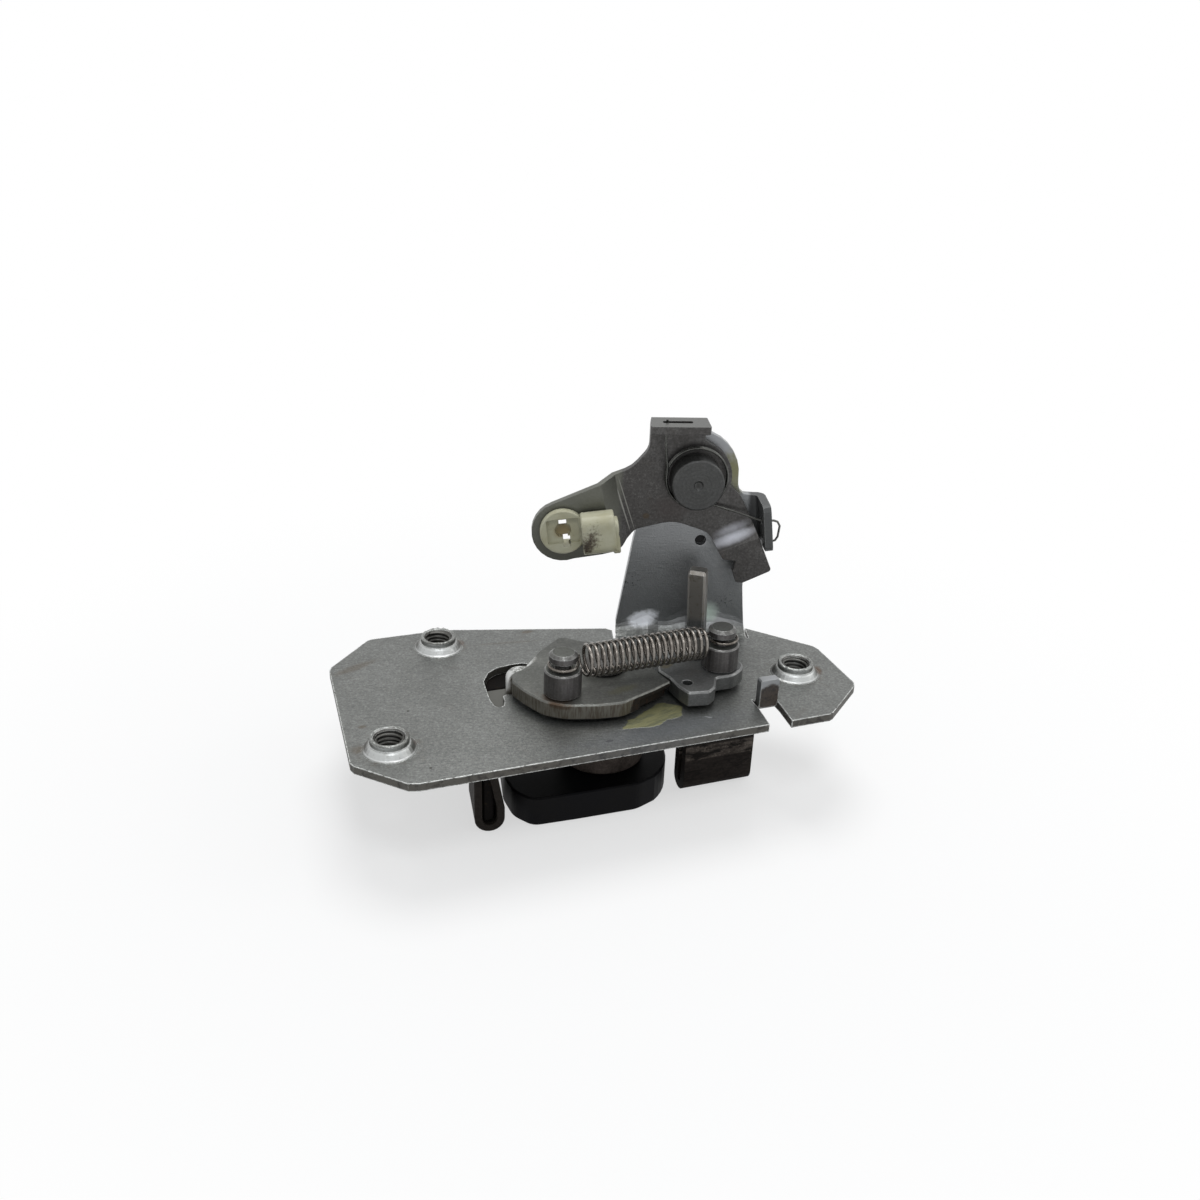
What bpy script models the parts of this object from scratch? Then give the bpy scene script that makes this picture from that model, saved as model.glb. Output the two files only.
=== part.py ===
"""Tailgate lock: a bent steel plate with a claw below, a cam and a sprung pawl on top, and a release lever on its upright."""

import math

import bmesh
import bpy
from mathutils import Matrix, Vector

MM = 0.001

# Sheet plate. Lengths are millimetres; x runs along the front edge, y away from it, z up from the feet
PLATE_TOP = 34.0
SHEET = 2.5
BACK_Y = 41.7
FRONT_Y = -41.7
LEFT_REACH = 77.5
RIGHT_OVERHANG = 17.3
GAP = 0.3

# Upright: s runs along the fold, off is the distance behind its back face, z is above the plate
FOLD = (15.6, 28.25)
FOLD_TURN = math.radians(-15.58)
FOLD_ENDS = (2.8, 46.3)
BEND_R = 4.0
# The fold's inner radius along it: two pressed beads widen it between its ends
BEADS = ((FOLD_ENDS[0], BEND_R), (8.0, 5.6), (13.6, 8.6), (17.2, 5.6), (20.0, 5.4), (26.0, 8.2), (35.0, 8.2),
         (41.0, 6.2), (FOLD_ENDS[1], BEND_R))

# The plate's ends: the right one is counted from the fold's corner
LEFT_X = -LEFT_REACH
RIGHT_X = FOLD[0] + FOLD_ENDS[1] * math.cos(FOLD_TURN) + RIGHT_OVERHANG

# Threaded collars drawn out of the plate
COLLARS = ((LEFT_X + 11.6, -22.75), (LEFT_X + 37.5, 31.15), (RIGHT_X - 14.9, -16.15))
COLLAR_R = 5.5
COLLAR_RISE = 3.7
BORE_R = 4.0

# Rotor
ROTOR = (2.2, -6.65)
SHAFT_R = 5.0
BOSS_R = 13.2
CLAW_TALL = 9.6
HUB_R = 20.5
CAM_LOW = PLATE_TOP + 1.3
CAM_THICK = 5.0
CAM_TOP = CAM_LOW + CAM_THICK

# Pawl
PAWL = (32.0, -5.45)
PAWL_PIN_R = 3.5
LUG = (39.9, 9.4)
LUG_SIDE = 5.6
LUG_REACH = 28.1
LUG_LEAN = 0.045
LUG_TURN = -35.0

# Spring posts
LEFT_POST = (-14.4, -17.45)
RIGHT_POST = (36.4, -15.65)
POST_R = 5.5
NECK_R = 2.4
EYE_INNER = 3.5
HEAD_R = 4.15
HOOK_Z = PLATE_TOP + 15.4
WIRE_R = 0.62
COIL_R = 4.62
COIL_TURNS = 20

# Lever and its axle on the upright
AXLE_S = 25.5
AXLE_Z = 55.3
HEAD_ROUND = 14.2
LEVER_BACK = -3.0
LEVER_SHEET = 2.4
DRUM_R = 8.1
DRUM_FRONT = -13.0
ARM_STEP = 4.0
TONGUE_STEP = 4.2
FLANGE_Z = 15.7
EYE = (AXLE_S - 40.8, AXLE_Z - 16.7)
EYE_R = 9.7
CLIP_R = 7.2
CLIP_AT = (EYE[0], EYE[1] + 0.8)
LUG_TOP = PLATE_TOP + AXLE_Z - LUG_REACH
TORSION_R = 9.9
TORSION_WIRE_R = 0.45

for old in list(bpy.data.objects):
    bpy.data.objects.remove(old, do_unlink=True)

root = bpy.data.objects.new("lock_origin", None)
bpy.context.scene.collection.objects.link(root)


def colour_of(name, colour, metallic, roughness):
    mat = bpy.data.materials.new(name)
    mat.use_nodes = True
    bsdf = mat.node_tree.nodes["Principled BSDF"]
    bsdf.inputs["Base Color"].default_value = (*colour, 1.0)
    bsdf.inputs["Metallic"].default_value = metallic
    bsdf.inputs["Roughness"].default_value = roughness
    return mat


ZINC = ((0.23, 0.235, 0.225), 0.8, 0.5)
DARK = ((0.10, 0.105, 0.11), 0.7, 0.5)
RUSTY = ((0.10, 0.075, 0.06), 0.4, 0.8)
BRIGHT = ((0.35, 0.34, 0.32), 0.9, 0.35)
BLACK = ((0.01, 0.01, 0.012), 0.0, 0.45)
CREAM = ((0.66, 0.63, 0.45), 0.0, 0.5)


def add(name, bm, look=None, cutter=False, origin=(0.0, 0.0, 0.0)):
    """Makes an object of a mesh in millimetres whose origin is at the point given."""
    bmesh.ops.recalc_face_normals(bm, faces=bm.faces)
    move = Matrix.Translation(-Vector(origin))
    if bm.calc_volume(signed=True) < 0:
        bmesh.ops.reverse_faces(bm, faces=bm.faces)
    bm.transform(Matrix.Scale(MM, 4) @ move)
    mesh = bpy.data.meshes.new(name)
    bm.to_mesh(mesh)
    bm.free()
    obj = bpy.data.objects.new(name, mesh)
    obj.location = Vector(origin) * MM
    obj.parent = root
    bpy.context.scene.collection.objects.link(obj)
    if cutter:
        obj.hide_render = True
        obj.display_type = "WIRE"
    if look:
        mesh.materials.append(colour_of(name, *look))
    return obj


def join(obj, tool, kind):
    mod = obj.modifiers.new(kind + "_" + tool.name, "BOOLEAN")
    mod.operation = kind
    mod.solver = "EXACT"
    mod.object = tool


def rounded(corners, step=15.0):
    """A closed outline with its corners rounded: each corner is (x, y) or (x, y, radius)."""
    out = []
    count = len(corners)
    for i, corner in enumerate(corners):
        p = Vector(corner[:2])
        radius = corner[2] if len(corner) > 2 else 0.0
        if not radius:
            out.append(p)
            continue
        a = (Vector(corners[i - 1][:2]) - p).normalized()
        b = (Vector(corners[(i + 1) % count][:2]) - p).normalized()
        half = math.acos(max(-1.0, min(1.0, a.dot(b)))) / 2
        reach = radius / math.tan(half)
        middle = p + (a + b).normalized() * (radius / math.sin(half))
        first = p + a * reach - middle
        last = p + b * reach - middle
        start = math.atan2(first.y, first.x)
        turn = (math.atan2(last.y, last.x) - start + math.pi) % (2 * math.pi) - math.pi
        count_here = max(2, int(abs(math.degrees(turn)) / step) + 1)
        for k in range(count_here + 1):
            at = start + turn * k / count_here
            out.append(middle + Vector((math.cos(at), math.sin(at))) * radius)
    return out


def ring(centre, radius, first=0.0, last=360.0, count=24):
    whole = abs(last - first - 360.0) < 1e-6
    steps = count if whole else count + 1
    return [
        Vector((centre[0] + radius * math.cos(a), centre[1] + radius * math.sin(a)))
        for a in (math.radians(first + (last - first) * k / count) for k in range(steps))
    ]


def prism(outline, low, high, place=None, chamfer=0.0):
    """An outline pulled from low to high, its top and bottom edges broken by a small chamfer if asked."""
    bm = bmesh.new()
    face = bm.faces.new([bm.verts.new((p[0], p[1], low)) for p in outline])
    top = bmesh.ops.extrude_face_region(bm, geom=[face])
    new = [v for v in top["geom"] if isinstance(v, bmesh.types.BMVert)]
    bmesh.ops.translate(bm, verts=new, vec=(0, 0, high - low))
    if chamfer:
        rims = [e for e in bm.edges if abs(e.verts[0].co.z - e.verts[1].co.z) < 1e-6]
        bmesh.ops.bevel(bm, geom=rims, offset=chamfer, segments=1, affect="EDGES", clamp_overlap=True)
    if place:
        bm.transform(place)
    return bm


def lathe(profile, count=32, place=None):
    """Turns a closed profile of (radius, height) about the z axis."""
    bm = bmesh.new()
    rows = []
    for r, z in profile:
        if r < 1e-6:
            rows.append([bm.verts.new((0, 0, z))] * count)
        else:
            rows.append([
                bm.verts.new((r * math.cos(2 * math.pi * k / count), r * math.sin(2 * math.pi * k / count), z))
                for k in range(count)
            ])
    for i in range(len(rows)):
        lower, upper = rows[i], rows[(i + 1) % len(rows)]
        for k in range(count):
            n = (k + 1) % count
            corners = []
            for v in (lower[k], lower[n], upper[n], upper[k]):
                if v not in corners:
                    corners.append(v)
            if len(corners) > 2:
                bm.faces.new(corners)
    if place:
        bm.transform(place)
    return bm


def at(x, y, z=0.0):
    return Matrix.Translation((x, y, z))


def tube(path, radius, sides=6):
    """A round wire along a path of points, with flat ends."""
    bm = bmesh.new()
    points = [Vector(p) for p in path]
    rows = []
    normal = None
    for i, p in enumerate(points):
        ahead = points[min(i + 1, len(points) - 1)] - points[max(i - 1, 0)]
        ahead.normalize()
        if normal is None:
            normal = ahead.orthogonal().normalized()
        normal = (normal - ahead * normal.dot(ahead)).normalized()
        side = ahead.cross(normal)
        rows.append([
            bm.verts.new(p + (normal * math.cos(a) + side * math.sin(a)) * radius)
            for a in (2 * math.pi * k / sides for k in range(sides))
        ])
    for low, high in zip(rows, rows[1:]):
        for k in range(sides):
            n = (k + 1) % sides
            bm.faces.new((low[k], low[n], high[n], high[k]))
    bm.faces.new(rows[0])
    bm.faces.new(rows[-1])
    return bm


# The upright's frame as a matrix: x is s, y is off, z is height above the plate
UPRIGHT = Matrix.Translation((FOLD[0], FOLD[1], PLATE_TOP)) @ Matrix.Rotation(FOLD_TURN, 4, "Z")
# Flat outlines drawn as (s, height) stand up with this one: x is s, y is height, z runs toward the front
FACING = UPRIGHT @ Matrix.Rotation(math.radians(90), 4, "X")


def up(s, off, z):
    return UPRIGHT @ Vector((s, off, z))


def stack(bm, rows):
    """Faces between rows of points of equal length, points met before are used again."""
    known = {}

    def vert(p):
        key = tuple(round(c, 4) for c in p)
        if key not in known:
            known[key] = bm.verts.new(p)
        return known[key]

    for low, high in zip(rows, rows[1:]):
        for k in range(len(low) - 1):
            corners = []
            for p in (low[k], low[k + 1], high[k + 1], high[k]):
                v = vert(p)
                if v not in corners:
                    corners.append(v)
            bm.faces.new(corners)
    return vert


# Base plate
def fold_stations(step=1.8):
    """Places along the fold, each with its radius there, eased from one bead value to the next."""
    out = []
    for (s0, r0), (s1, r1) in zip(BEADS, BEADS[1:]):
        count = max(1, round((s1 - s0) / step))
        for k in range(count):
            part = k / count
            ease = part * part * (3 - 2 * part)
            out.append((s0 + (s1 - s0) * part, r0 + (r1 - r0) * ease))
    return out + [BEADS[-1]]


def flat_plate(vert, bm):
    """The plate's outline, with the relief beside the upright's fold and the tab's slits."""
    start = -SHEET - BEND_R
    first, last = FOLD_ENDS
    left = UPRIGHT @ Vector((first, start, 0))
    points = [
        (LEFT_X, -26.8), (LEFT_X + 0.7, -28.7), (LEFT_X + 12.9, -40.9), (LEFT_X + 14.6, FRONT_Y + 0.35),
        (LEFT_X + 15.9, FRONT_Y), (41.0, FRONT_Y), (42.0, FRONT_Y + 10.0),
        (42.0, -27.6), (42.5, -27.6), (42.5, -28.2), (48.6, -28.2), (48.6, -27.6), (49.1, -27.6),
        (49.1, FRONT_Y + 9.0), (48.3, FRONT_Y), (RIGHT_X - 16.5, FRONT_Y + 0.1), (RIGHT_X - 15.1, FRONT_Y + 0.7),
        (RIGHT_X - 0.9, -29.0), (RIGHT_X, -27.2), (RIGHT_X, -4.6), (RIGHT_X - 0.7, -2.2),
        (RIGHT_X - 15.6, 14.4), (RIGHT_X - 16.7, 15.65),
    ]
    relief = []
    for s, off in ((last + 0.6, start - 0.6), (last, start - 0.6), (last, start)):
        p = UPRIGHT @ Vector((s, off, 0))
        relief.append((p.x, p.y))
    # The corner outside the fold stays on the plate, the relief runs in beside it
    points += relief
    for s, r in reversed(fold_stations()[1:-1]):
        p = UPRIGHT @ Vector((s, -SHEET - r, 0))
        points.append((p.x, p.y))
    points += [(left.x, left.y)]
    for s, off in ((first, start - 0.6), (first - 0.6, start - 0.6), (first - 0.6, -1.4), (first - 2.8, 0.0)):
        p = UPRIGHT @ Vector((s, off, 0))
        points.append((p.x, p.y))
    points += [
        (LEFT_X + 44.5, BACK_Y - 0.75), (LEFT_X + 41.0, BACK_Y - 0.1), (LEFT_X + 37.5, BACK_Y),
        (LEFT_X + 18.3, BACK_Y), (LEFT_X + 16.6, BACK_Y - 0.6), (LEFT_X + 3.1, 26.9), (LEFT_X + 2.2, 24.9),
    ]
    bm.faces.new([vert((x, y, PLATE_TOP)) for x, y in points])


def base_plate():
    bm = bmesh.new()
    vert = stack(bm, [])
    flat_plate(vert, bm)
    # Upright: the fold, then its outline up to the round head
    stations = fold_stations()
    rows = []
    steps = 6
    for k in range(steps + 1):
        a = math.radians(90 * k / steps)
        part = k / steps
        row = []
        for s, r in stations:
            if s == FOLD_ENDS[0]:
                s += 0.4 * part
            elif s == FOLD_ENDS[1]:
                s -= 0.7 * part
            row.append((s, -SHEET - r * (1 - math.sin(a)), r * (1 - math.cos(a))))
        rows.append(row)
    for low, high in zip(rows, rows[1:]):
        for i in range(len(stations) - 1):
            a, b, c, d = (vert(up(*p)) for p in (low[i], low[i + 1], high[i + 1], high[i]))
            bm.faces.new((a, b, c))
            bm.faces.new((a, c, d))
    foot_line = [(s, z) for s, off, z in rows[-1]]
    head = [
        (AXLE_S + HEAD_ROUND * math.cos(math.radians(a)), AXLE_Z + HEAD_ROUND * math.sin(math.radians(a)))
        for a in range(-4, 189, 12)
    ]
    # The right edge leads into the ear's fold, which leans outwards a little at its foot
    ear_low = (AXLE_S + 21.5, AXLE_Z - 21.9)
    ear_high = (AXLE_S + 19.4, AXLE_Z - 6.7)
    rise = ear_low[1] - 1.0
    edge = foot_line + [(44.9, 0.31 * rise), (44.3, 0.5 * rise), (43.9, 0.74 * rise), (43.9, rise), ear_low, ear_high]
    edge += [(AXLE_S + s, AXLE_Z + z) for s, z in ((16.4, -6.4), (14.9, -5.1), (14.3, -3.1))] + head
    edge += [(AXLE_S + s, AXLE_Z + z) for s, z in ((-15.3, -7.3), (-17.3, -19.3), (-17.9, -22.3))]
    bm.faces.new([vert(up(s, -SHEET, z)) for s, z in edge])
    # Ear
    turn = 1.2
    rows = []
    for k in range(4):
        a = math.radians(30 * k)
        shift = turn * math.sin(a)
        off = -SHEET - turn * (1 - math.cos(a))
        rows.append([up(ear_low[0] + shift, off, ear_low[1]), up(ear_high[0] + shift, off, ear_high[1])])
    for low, high in zip(rows, rows[1:]):
        bm.faces.new([vert(low[0]), vert(low[1]), vert(high[1]), vert(high[0])])
    foot = -SHEET - turn
    low, high = ear_low[0] + turn, ear_high[0] + turn
    bottom, top = ear_low[1], ear_high[1]
    flap = [(foot, bottom), (foot, top), (-11.2, top - 0.2), (-12.4, top - 0.6), (-13.0, top - 2.0),
            (-13.0, bottom + 1.4), (-12.4, bottom + 0.1), (-11.0, bottom)]
    # The flap's points lie in one plane: each point's s follows from its height
    lean = (high - low) / (top - bottom)
    bm.faces.new([vert(up(low + (z - bottom) * lean, off, z)) for off, z in flap])
    # Tab bent up out of the notch
    rows = []
    for k in range(4):
        a = math.radians(30 * k)
        rows.append([
            (42.5, -28.2 - 1.0 * math.sin(a), PLATE_TOP + 1.0 * (1 - math.cos(a))),
            (48.6, -28.2 - 1.0 * math.sin(a), PLATE_TOP + 1.0 * (1 - math.cos(a))),
        ])
    rows.append([(42.5, -29.2, PLATE_TOP + 8.0), (48.6, -29.2, PLATE_TOP + 8.0)])
    rows.append([(42.9, -29.2, PLATE_TOP + 8.5), (48.2, -29.2, PLATE_TOP + 8.5)])
    for low, high in zip(rows, rows[1:]):
        bm.faces.new([vert(low[0]), vert(low[1]), vert(high[1]), vert(high[0])])
    bmesh.ops.recalc_face_normals(bm, faces=bm.faces)
    bm.faces.ensure_lookup_table()
    if max(bm.faces, key=lambda f: f.calc_area()).normal.z < 0:
        bmesh.ops.reverse_faces(bm, faces=bm.faces)
    bm.transform(Matrix.Scale(MM, 4))
    mesh = bpy.data.meshes.new("base_plate")
    bm.to_mesh(mesh)
    bm.free()
    obj = bpy.data.objects.new("base_plate", mesh)
    obj.parent = root
    bpy.context.scene.collection.objects.link(obj)
    mesh.materials.append(colour_of("base_plate", *ZINC))
    solid = obj.modifiers.new("sheet", "SOLIDIFY")
    solid.thickness = SHEET * MM
    solid.offset = -1.0
    solid.use_even_offset = True
    return obj


plate = base_plate()
for i, (x, y) in enumerate(COLLARS):
    drawn = lathe([(0, PLATE_TOP - 1.2), (7.7, PLATE_TOP - 1.2), (7.7, PLATE_TOP + 0.02), (7.1, PLATE_TOP + 0.35),
                   (6.3, PLATE_TOP + 1.6), (5.9, PLATE_TOP + 2.0), (COLLAR_R, PLATE_TOP + 2.1),
                   (COLLAR_R, PLATE_TOP + COLLAR_RISE - 0.3), (COLLAR_R - 0.3, PLATE_TOP + COLLAR_RISE),
                   (0, PLATE_TOP + COLLAR_RISE)], 32, at(x, y))
    join(plate, add(f"collar_{i}", drawn, cutter=True), "UNION")
for i, (x, y) in enumerate(COLLARS):
    low = PLATE_TOP - SHEET
    bore = lathe([(0, low - 1), (BORE_R + 0.8, low - 1), (BORE_R + 0.8, low - 0.001), (BORE_R, low + 0.8),
                  (BORE_R, PLATE_TOP + COLLAR_RISE - 0.5), (BORE_R + 0.6, PLATE_TOP + COLLAR_RISE + 0.1),
                  (BORE_R + 0.6, PLATE_TOP + 6), (0, PLATE_TOP + 6)], 32, at(x, y))
    join(plate, add(f"collar_bore_{i}", bore, cutter=True), "DIFFERENCE")
slot = [(-32.6, -9.0), (-32.9, -5.5), (-32.5, -0.4), (-31.9, 5.4), (-29.3, 10.1), (-26.0, 12.4), (-21.5, 13.2),
        (-17.2, 13.2), (-16.1, 12.2), (-16.2, 10.4), (-19.6, 5.9), (-21.9, 0.7), (-22.7, -3.1), (-23.3, -4.55),
        (-25.5, -4.55), (-27.7, -4.05), (-28.6, -4.6), (-29.0, -7.5), (-29.8, -9.9), (-31.0, -10.4), (-32.1, -10.0)]
join(plate, add("slot_cut", prism(slot, PLATE_TOP - 6, PLATE_TOP + 4), cutter=True), "DIFFERENCE")
shaft_hole = prism(ring(ROTOR, SHAFT_R + GAP, count=32), PLATE_TOP - 6, PLATE_TOP + 4)
join(plate, add("shaft_hole_cut", shaft_hole, cutter=True), "DIFFERENCE")
pawl_hole = prism(ring(PAWL, PAWL_PIN_R + GAP, count=24), PLATE_TOP - 6, PLATE_TOP + 4)
join(plate, add("pawl_hole_cut", pawl_hole, cutter=True), "DIFFERENCE")
axle_hole = prism(ring((AXLE_S, AXLE_Z), 4.0 + GAP, count=24), -6, 8, FACING)
join(plate, add("axle_hole_cut", axle_hole, cutter=True), "DIFFERENCE")
dimple = prism(ring((AXLE_S + 3.7, AXLE_Z - 22.3), 1.8, count=20), SHEET - 1.8, 8, FACING)
join(plate, add("dimple_cut", dimple, cutter=True), "DIFFERENCE")
through_ear = UPRIGHT @ at(AXLE_S + 22.0, -8.6, AXLE_Z - 12.9) @ Matrix.Rotation(math.radians(90), 4, "Y")
ear_hole = prism(ring((0, 0), 1.2, count=12), -5, 5, through_ear)
join(plate, add("ear_hole_cut", ear_hole, cutter=True), "DIFFERENCE")


# Guides under the plate
GUIDE_SHEET = 2.6


def strip(points, thick):
    """A bent strip's outline from the line along its outer side."""
    line = [Vector(p) for p in points]
    inner = []
    for i, p in enumerate(line):
        ahead = (line[min(i + 1, len(line) - 1)] - line[max(i - 1, 0)]).normalized()
        inner.append(p + Vector((-ahead.y, ahead.x)) * thick)
    return line + inner[::-1]


HOOK_X = -42.3
HOOK_WIDE = 8.9
HOOK_LONG = 16.0
HOOK_SHEET = 2.3
hook_r = HOOK_WIDE / 2
under = PLATE_TOP - SHEET - GAP
hook_line = [(HOOK_X + 17.5, under), (HOOK_X + 2.6, under), (HOOK_X + 1.3, under - 0.35), (HOOK_X + 0.35, under - 1.3),
             (HOOK_X, under - 2.6), (HOOK_X, hook_r)]
hook_line += [(HOOK_X + hook_r + hook_r * math.cos(math.radians(a)), hook_r + hook_r * math.sin(math.radians(a)))
              for a in range(195, 361, 15)]
hook_line += [(HOOK_X + HOOK_WIDE, hook_r + 3.6), (HOOK_X + HOOK_WIDE - 3.0, under - 8.0),
              (HOOK_X + HOOK_WIDE - 3.4, under - 5.0)]
HOOK_PLACE = at(HOOK_X + 3, -23.05) @ Matrix.Rotation(math.radians(-8), 4, "Z") @ at(-HOOK_X - 3, 23.05)
standing = Matrix.Rotation(math.radians(90), 4, "X")
hook = prism(strip(hook_line, HOOK_SHEET), 23.05 - HOOK_LONG, 23.05, HOOK_PLACE @ standing, chamfer=0.35)
hook = add("left_guide_hook", hook, RUSTY)
# Its flange runs on under the slot
FLANGE_BACK = 4.05
flange_line = [(HOOK_X + 4.5, -21.0), (HOOK_X + 16.5, -22.0), (HOOK_X + 17.6, FLANGE_BACK), (HOOK_X + 6.5, FLANGE_BACK)]
hook_flange = prism(flange_line, under - HOOK_SHEET, under)
join(hook, add("hook_flange", hook_flange, cutter=True), "UNION")

BLOCK_X = (24.4, 47.4)
BLOCK_Y = -22.0
BLOCK_WIDE = 7.4
block_r = BLOCK_WIDE / 2
block_line = [(BLOCK_Y + 22.5, under), (BLOCK_Y + 2.6, under), (BLOCK_Y + 1.3, under - 0.35),
              (BLOCK_Y + 0.35, under - 1.3), (BLOCK_Y, under - 2.6), (BLOCK_Y, block_r)]
block_line += [(BLOCK_Y + block_r + block_r * math.cos(math.radians(a)), block_r + block_r * math.sin(math.radians(a)))
               for a in range(195, 361, 15)]
block_line += [(BLOCK_Y + BLOCK_WIDE, under - 5.0)]
across = Matrix(((0, 0, 1, 0), (1, 0, 0, 0), (0, 1, 0, 0), (0, 0, 0, 1)))
block = prism(strip(block_line, GUIDE_SHEET), BLOCK_X[0], BLOCK_X[1], across, chamfer=0.35)
guide = add("right_guide_block", block, RUSTY)
# The pawl's rivet holds the block's flange to the plate
rivet_hole = prism(ring(PAWL, PAWL_PIN_R + GAP, count=24), under - 8, under + 4)
join(guide, add("guide_rivet_cut", rivet_hole, cutter=True), "DIFFERENCE")

# Bearing boss under the plate
boss = lathe([(SHAFT_R + GAP, CLAW_TALL + GAP), (BOSS_R - 0.8, CLAW_TALL + GAP), (BOSS_R, CLAW_TALL + GAP + 0.8),
              (BOSS_R, under), (SHAFT_R + GAP, under)], 40, at(*ROTOR))
add("bearing_boss", boss, RUSTY)


# Rotor
def hub_arc(first, last, radius=HUB_R, count=22):
    return [tuple(p) for p in ring(ROTOR, radius, first, last, count)]


# From the tip along the front, round the hub's right side and back, then into the mouth
claw_outline = rounded(
    [(-26.2, 9.6, 3.5), (-30.0, -9.5, 10.0), (-29.4, -18.6, 8.0), (-25.2, -24.7, 5.0), (-12.0, -25.4, 20.0),
     (7.6, -25.9, 8.0)]
    + hub_arc(-55, 102)
    + [(-7.4, 12.4, 3.0), (-7.4, -5.2, 5.3), (-18.4, -5.2, 5.3), (-17.4, 10.0, 3.5)],
    10.0,
)


def inset(outline, by):
    """The outline moved inwards; it is drawn anticlockwise."""
    out = []
    for i, p in enumerate(outline):
        a = (p - outline[i - 1])
        b = (outline[(i + 1) % len(outline)] - p)
        if a.length < 1e-4:
            a = b
        if b.length < 1e-4:
            b = a
        a = a.normalized()
        b = b.normalized()
        along = (a + b).normalized()
        side = Vector((-along.y, along.x))
        out.append(p + side * by / max(0.5, side.dot(Vector((-a.y, a.x)))))
    return out


cover_low = 0.0
core_low = 2.0
core_high = CLAW_TALL - 2.0
cover = add("claw_cover", prism(claw_outline, cover_low, CLAW_TALL, chamfer=0.6), BLACK)
pocket = prism(inset(claw_outline, 1.5), core_low - GAP, core_high + GAP)
join(cover, add("core_pocket_cut", pocket, cutter=True), "DIFFERENCE")
cover_bore = prism(ring(ROTOR, 8.6, count=32), -2, CLAW_TALL + 2)
join(cover, add("cover_bore_cut", cover_bore, cutter=True), "DIFFERENCE")
core = add("claw_core", prism(inset(claw_outline, 1.5 + GAP), core_low, core_high), DARK)
core_bore = prism(ring(ROTOR, SHAFT_R + GAP, count=32), -2, CLAW_TALL + 2)
join(core, add("core_bore_cut", core_bore, cutter=True), "DIFFERENCE")

shaft = lathe([(0, 0.5), (6.9, 0.5), (7.5, 1.1), (7.5, core_low - GAP), (SHAFT_R, core_low - GAP),
               (SHAFT_R, CAM_TOP + GAP), (6.4, CAM_TOP + GAP), (6.4, CAM_TOP + 1.6), (5.4, CAM_TOP + 2.5),
               (1.4, CAM_TOP + 2.5), (0, CAM_TOP + 2.1)], 32, at(*ROTOR))
add("rotor_shaft", shaft, BRIGHT)
washer = lathe([(SHAFT_R + GAP, PLATE_TOP + GAP), (8.0, PLATE_TOP + GAP), (8.0, CAM_LOW - GAP),
                (SHAFT_R + GAP, CAM_LOW - GAP)], 32, at(*ROTOR))
add("rotor_washer", washer, BRIGHT)

cam_line = [(-26.7, -7.6, 2.0), (-25.7, -3.9, 2.0), (-21.3, -0.65, 4.0), (-13.2, 8.85, 6.0), (-4.4, 16.0, 3.0),
            (1.4, 11.0, 3.0), (8.0, 7.7, 6.0), (14.8, 2.0, 6.0), (17.9, -6.0, 6.0), (16.5, -12.0, 3.0),
            (18.5, -20.5, 1.0), (12.3, -23.4, 8.0), (0.2, -28.05, 6.0), (-7.2, -27.2, 12.0), (-15.8, -24.9, 12.0),
            (-21.2, -21.0, 8.0), (-24.9, -13.4, 14.0)]
cam = add("cam_plate", prism(rounded(cam_line, 6.0), CAM_LOW, CAM_TOP, chamfer=0.45), ZINC)
relief = [(6.6, -34.0), (30.0, -34.0), (30.0, -12.6), (16.0, -12.6), (16.9, -19.7), (11.9, -22.0), (6.6, -24.2)]
join(cam, add("cam_relief_cut", prism(relief, CAM_LOW - 2, CAM_TOP - 1.5), cutter=True), "DIFFERENCE")
# The finger bent down into the slot
FINGER_AT = 167.8
FINGER_OUT = 29.4
FINGER_BEND = 3.6
FINGER_HALF = 2.75
finger_side = [(21.0, CAM_LOW + 0.4), (21.0, CAM_TOP - 0.15)]
finger_side += [(FINGER_OUT - FINGER_BEND + FINGER_BEND * math.cos(math.radians(a)),
                 CAM_TOP - 0.15 - FINGER_BEND + FINGER_BEND * math.sin(math.radians(a))) for a in range(90, -1, -15)]
finger_low = PLATE_TOP - SHEET + GAP
finger_side += [(FINGER_OUT, finger_low), (FINGER_OUT - 2.9, finger_low), (FINGER_OUT - 2.9, CAM_LOW + 0.4)]
outward = at(*ROTOR) @ Matrix.Rotation(math.radians(FINGER_AT), 4, "Z") @ Matrix.Rotation(math.radians(90), 4, "X")
finger_bm = prism(finger_side, -FINGER_HALF, FINGER_HALF, outward, chamfer=0.35)
join(cam, add("cam_finger", finger_bm, cutter=True), "UNION")
cam_bore = prism(ring(ROTOR, SHAFT_R + GAP, count=32), PLATE_TOP - 2, CAM_TOP + 2)
join(cam, add("cam_bore_cut", cam_bore, cutter=True), "DIFFERENCE")


def post(name, centre):
    low = CAM_TOP + GAP
    neck = HOOK_Z - 1.2
    line = [(0, low), (POST_R, low), (POST_R, neck - 0.4), (POST_R - 0.4, neck), (NECK_R, neck), (NECK_R, HOOK_Z + 1.3),
            (HEAD_R, HOOK_Z + 1.6), (HEAD_R, HOOK_Z + 3.4), (HEAD_R - 0.9, HOOK_Z + 4.2), (0, HOOK_Z + 4.2)]
    add(name, lathe(line, 32, at(*centre)), DARK)


post("left_spring_post", LEFT_POST)
post("right_spring_post", RIGHT_POST)

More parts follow.
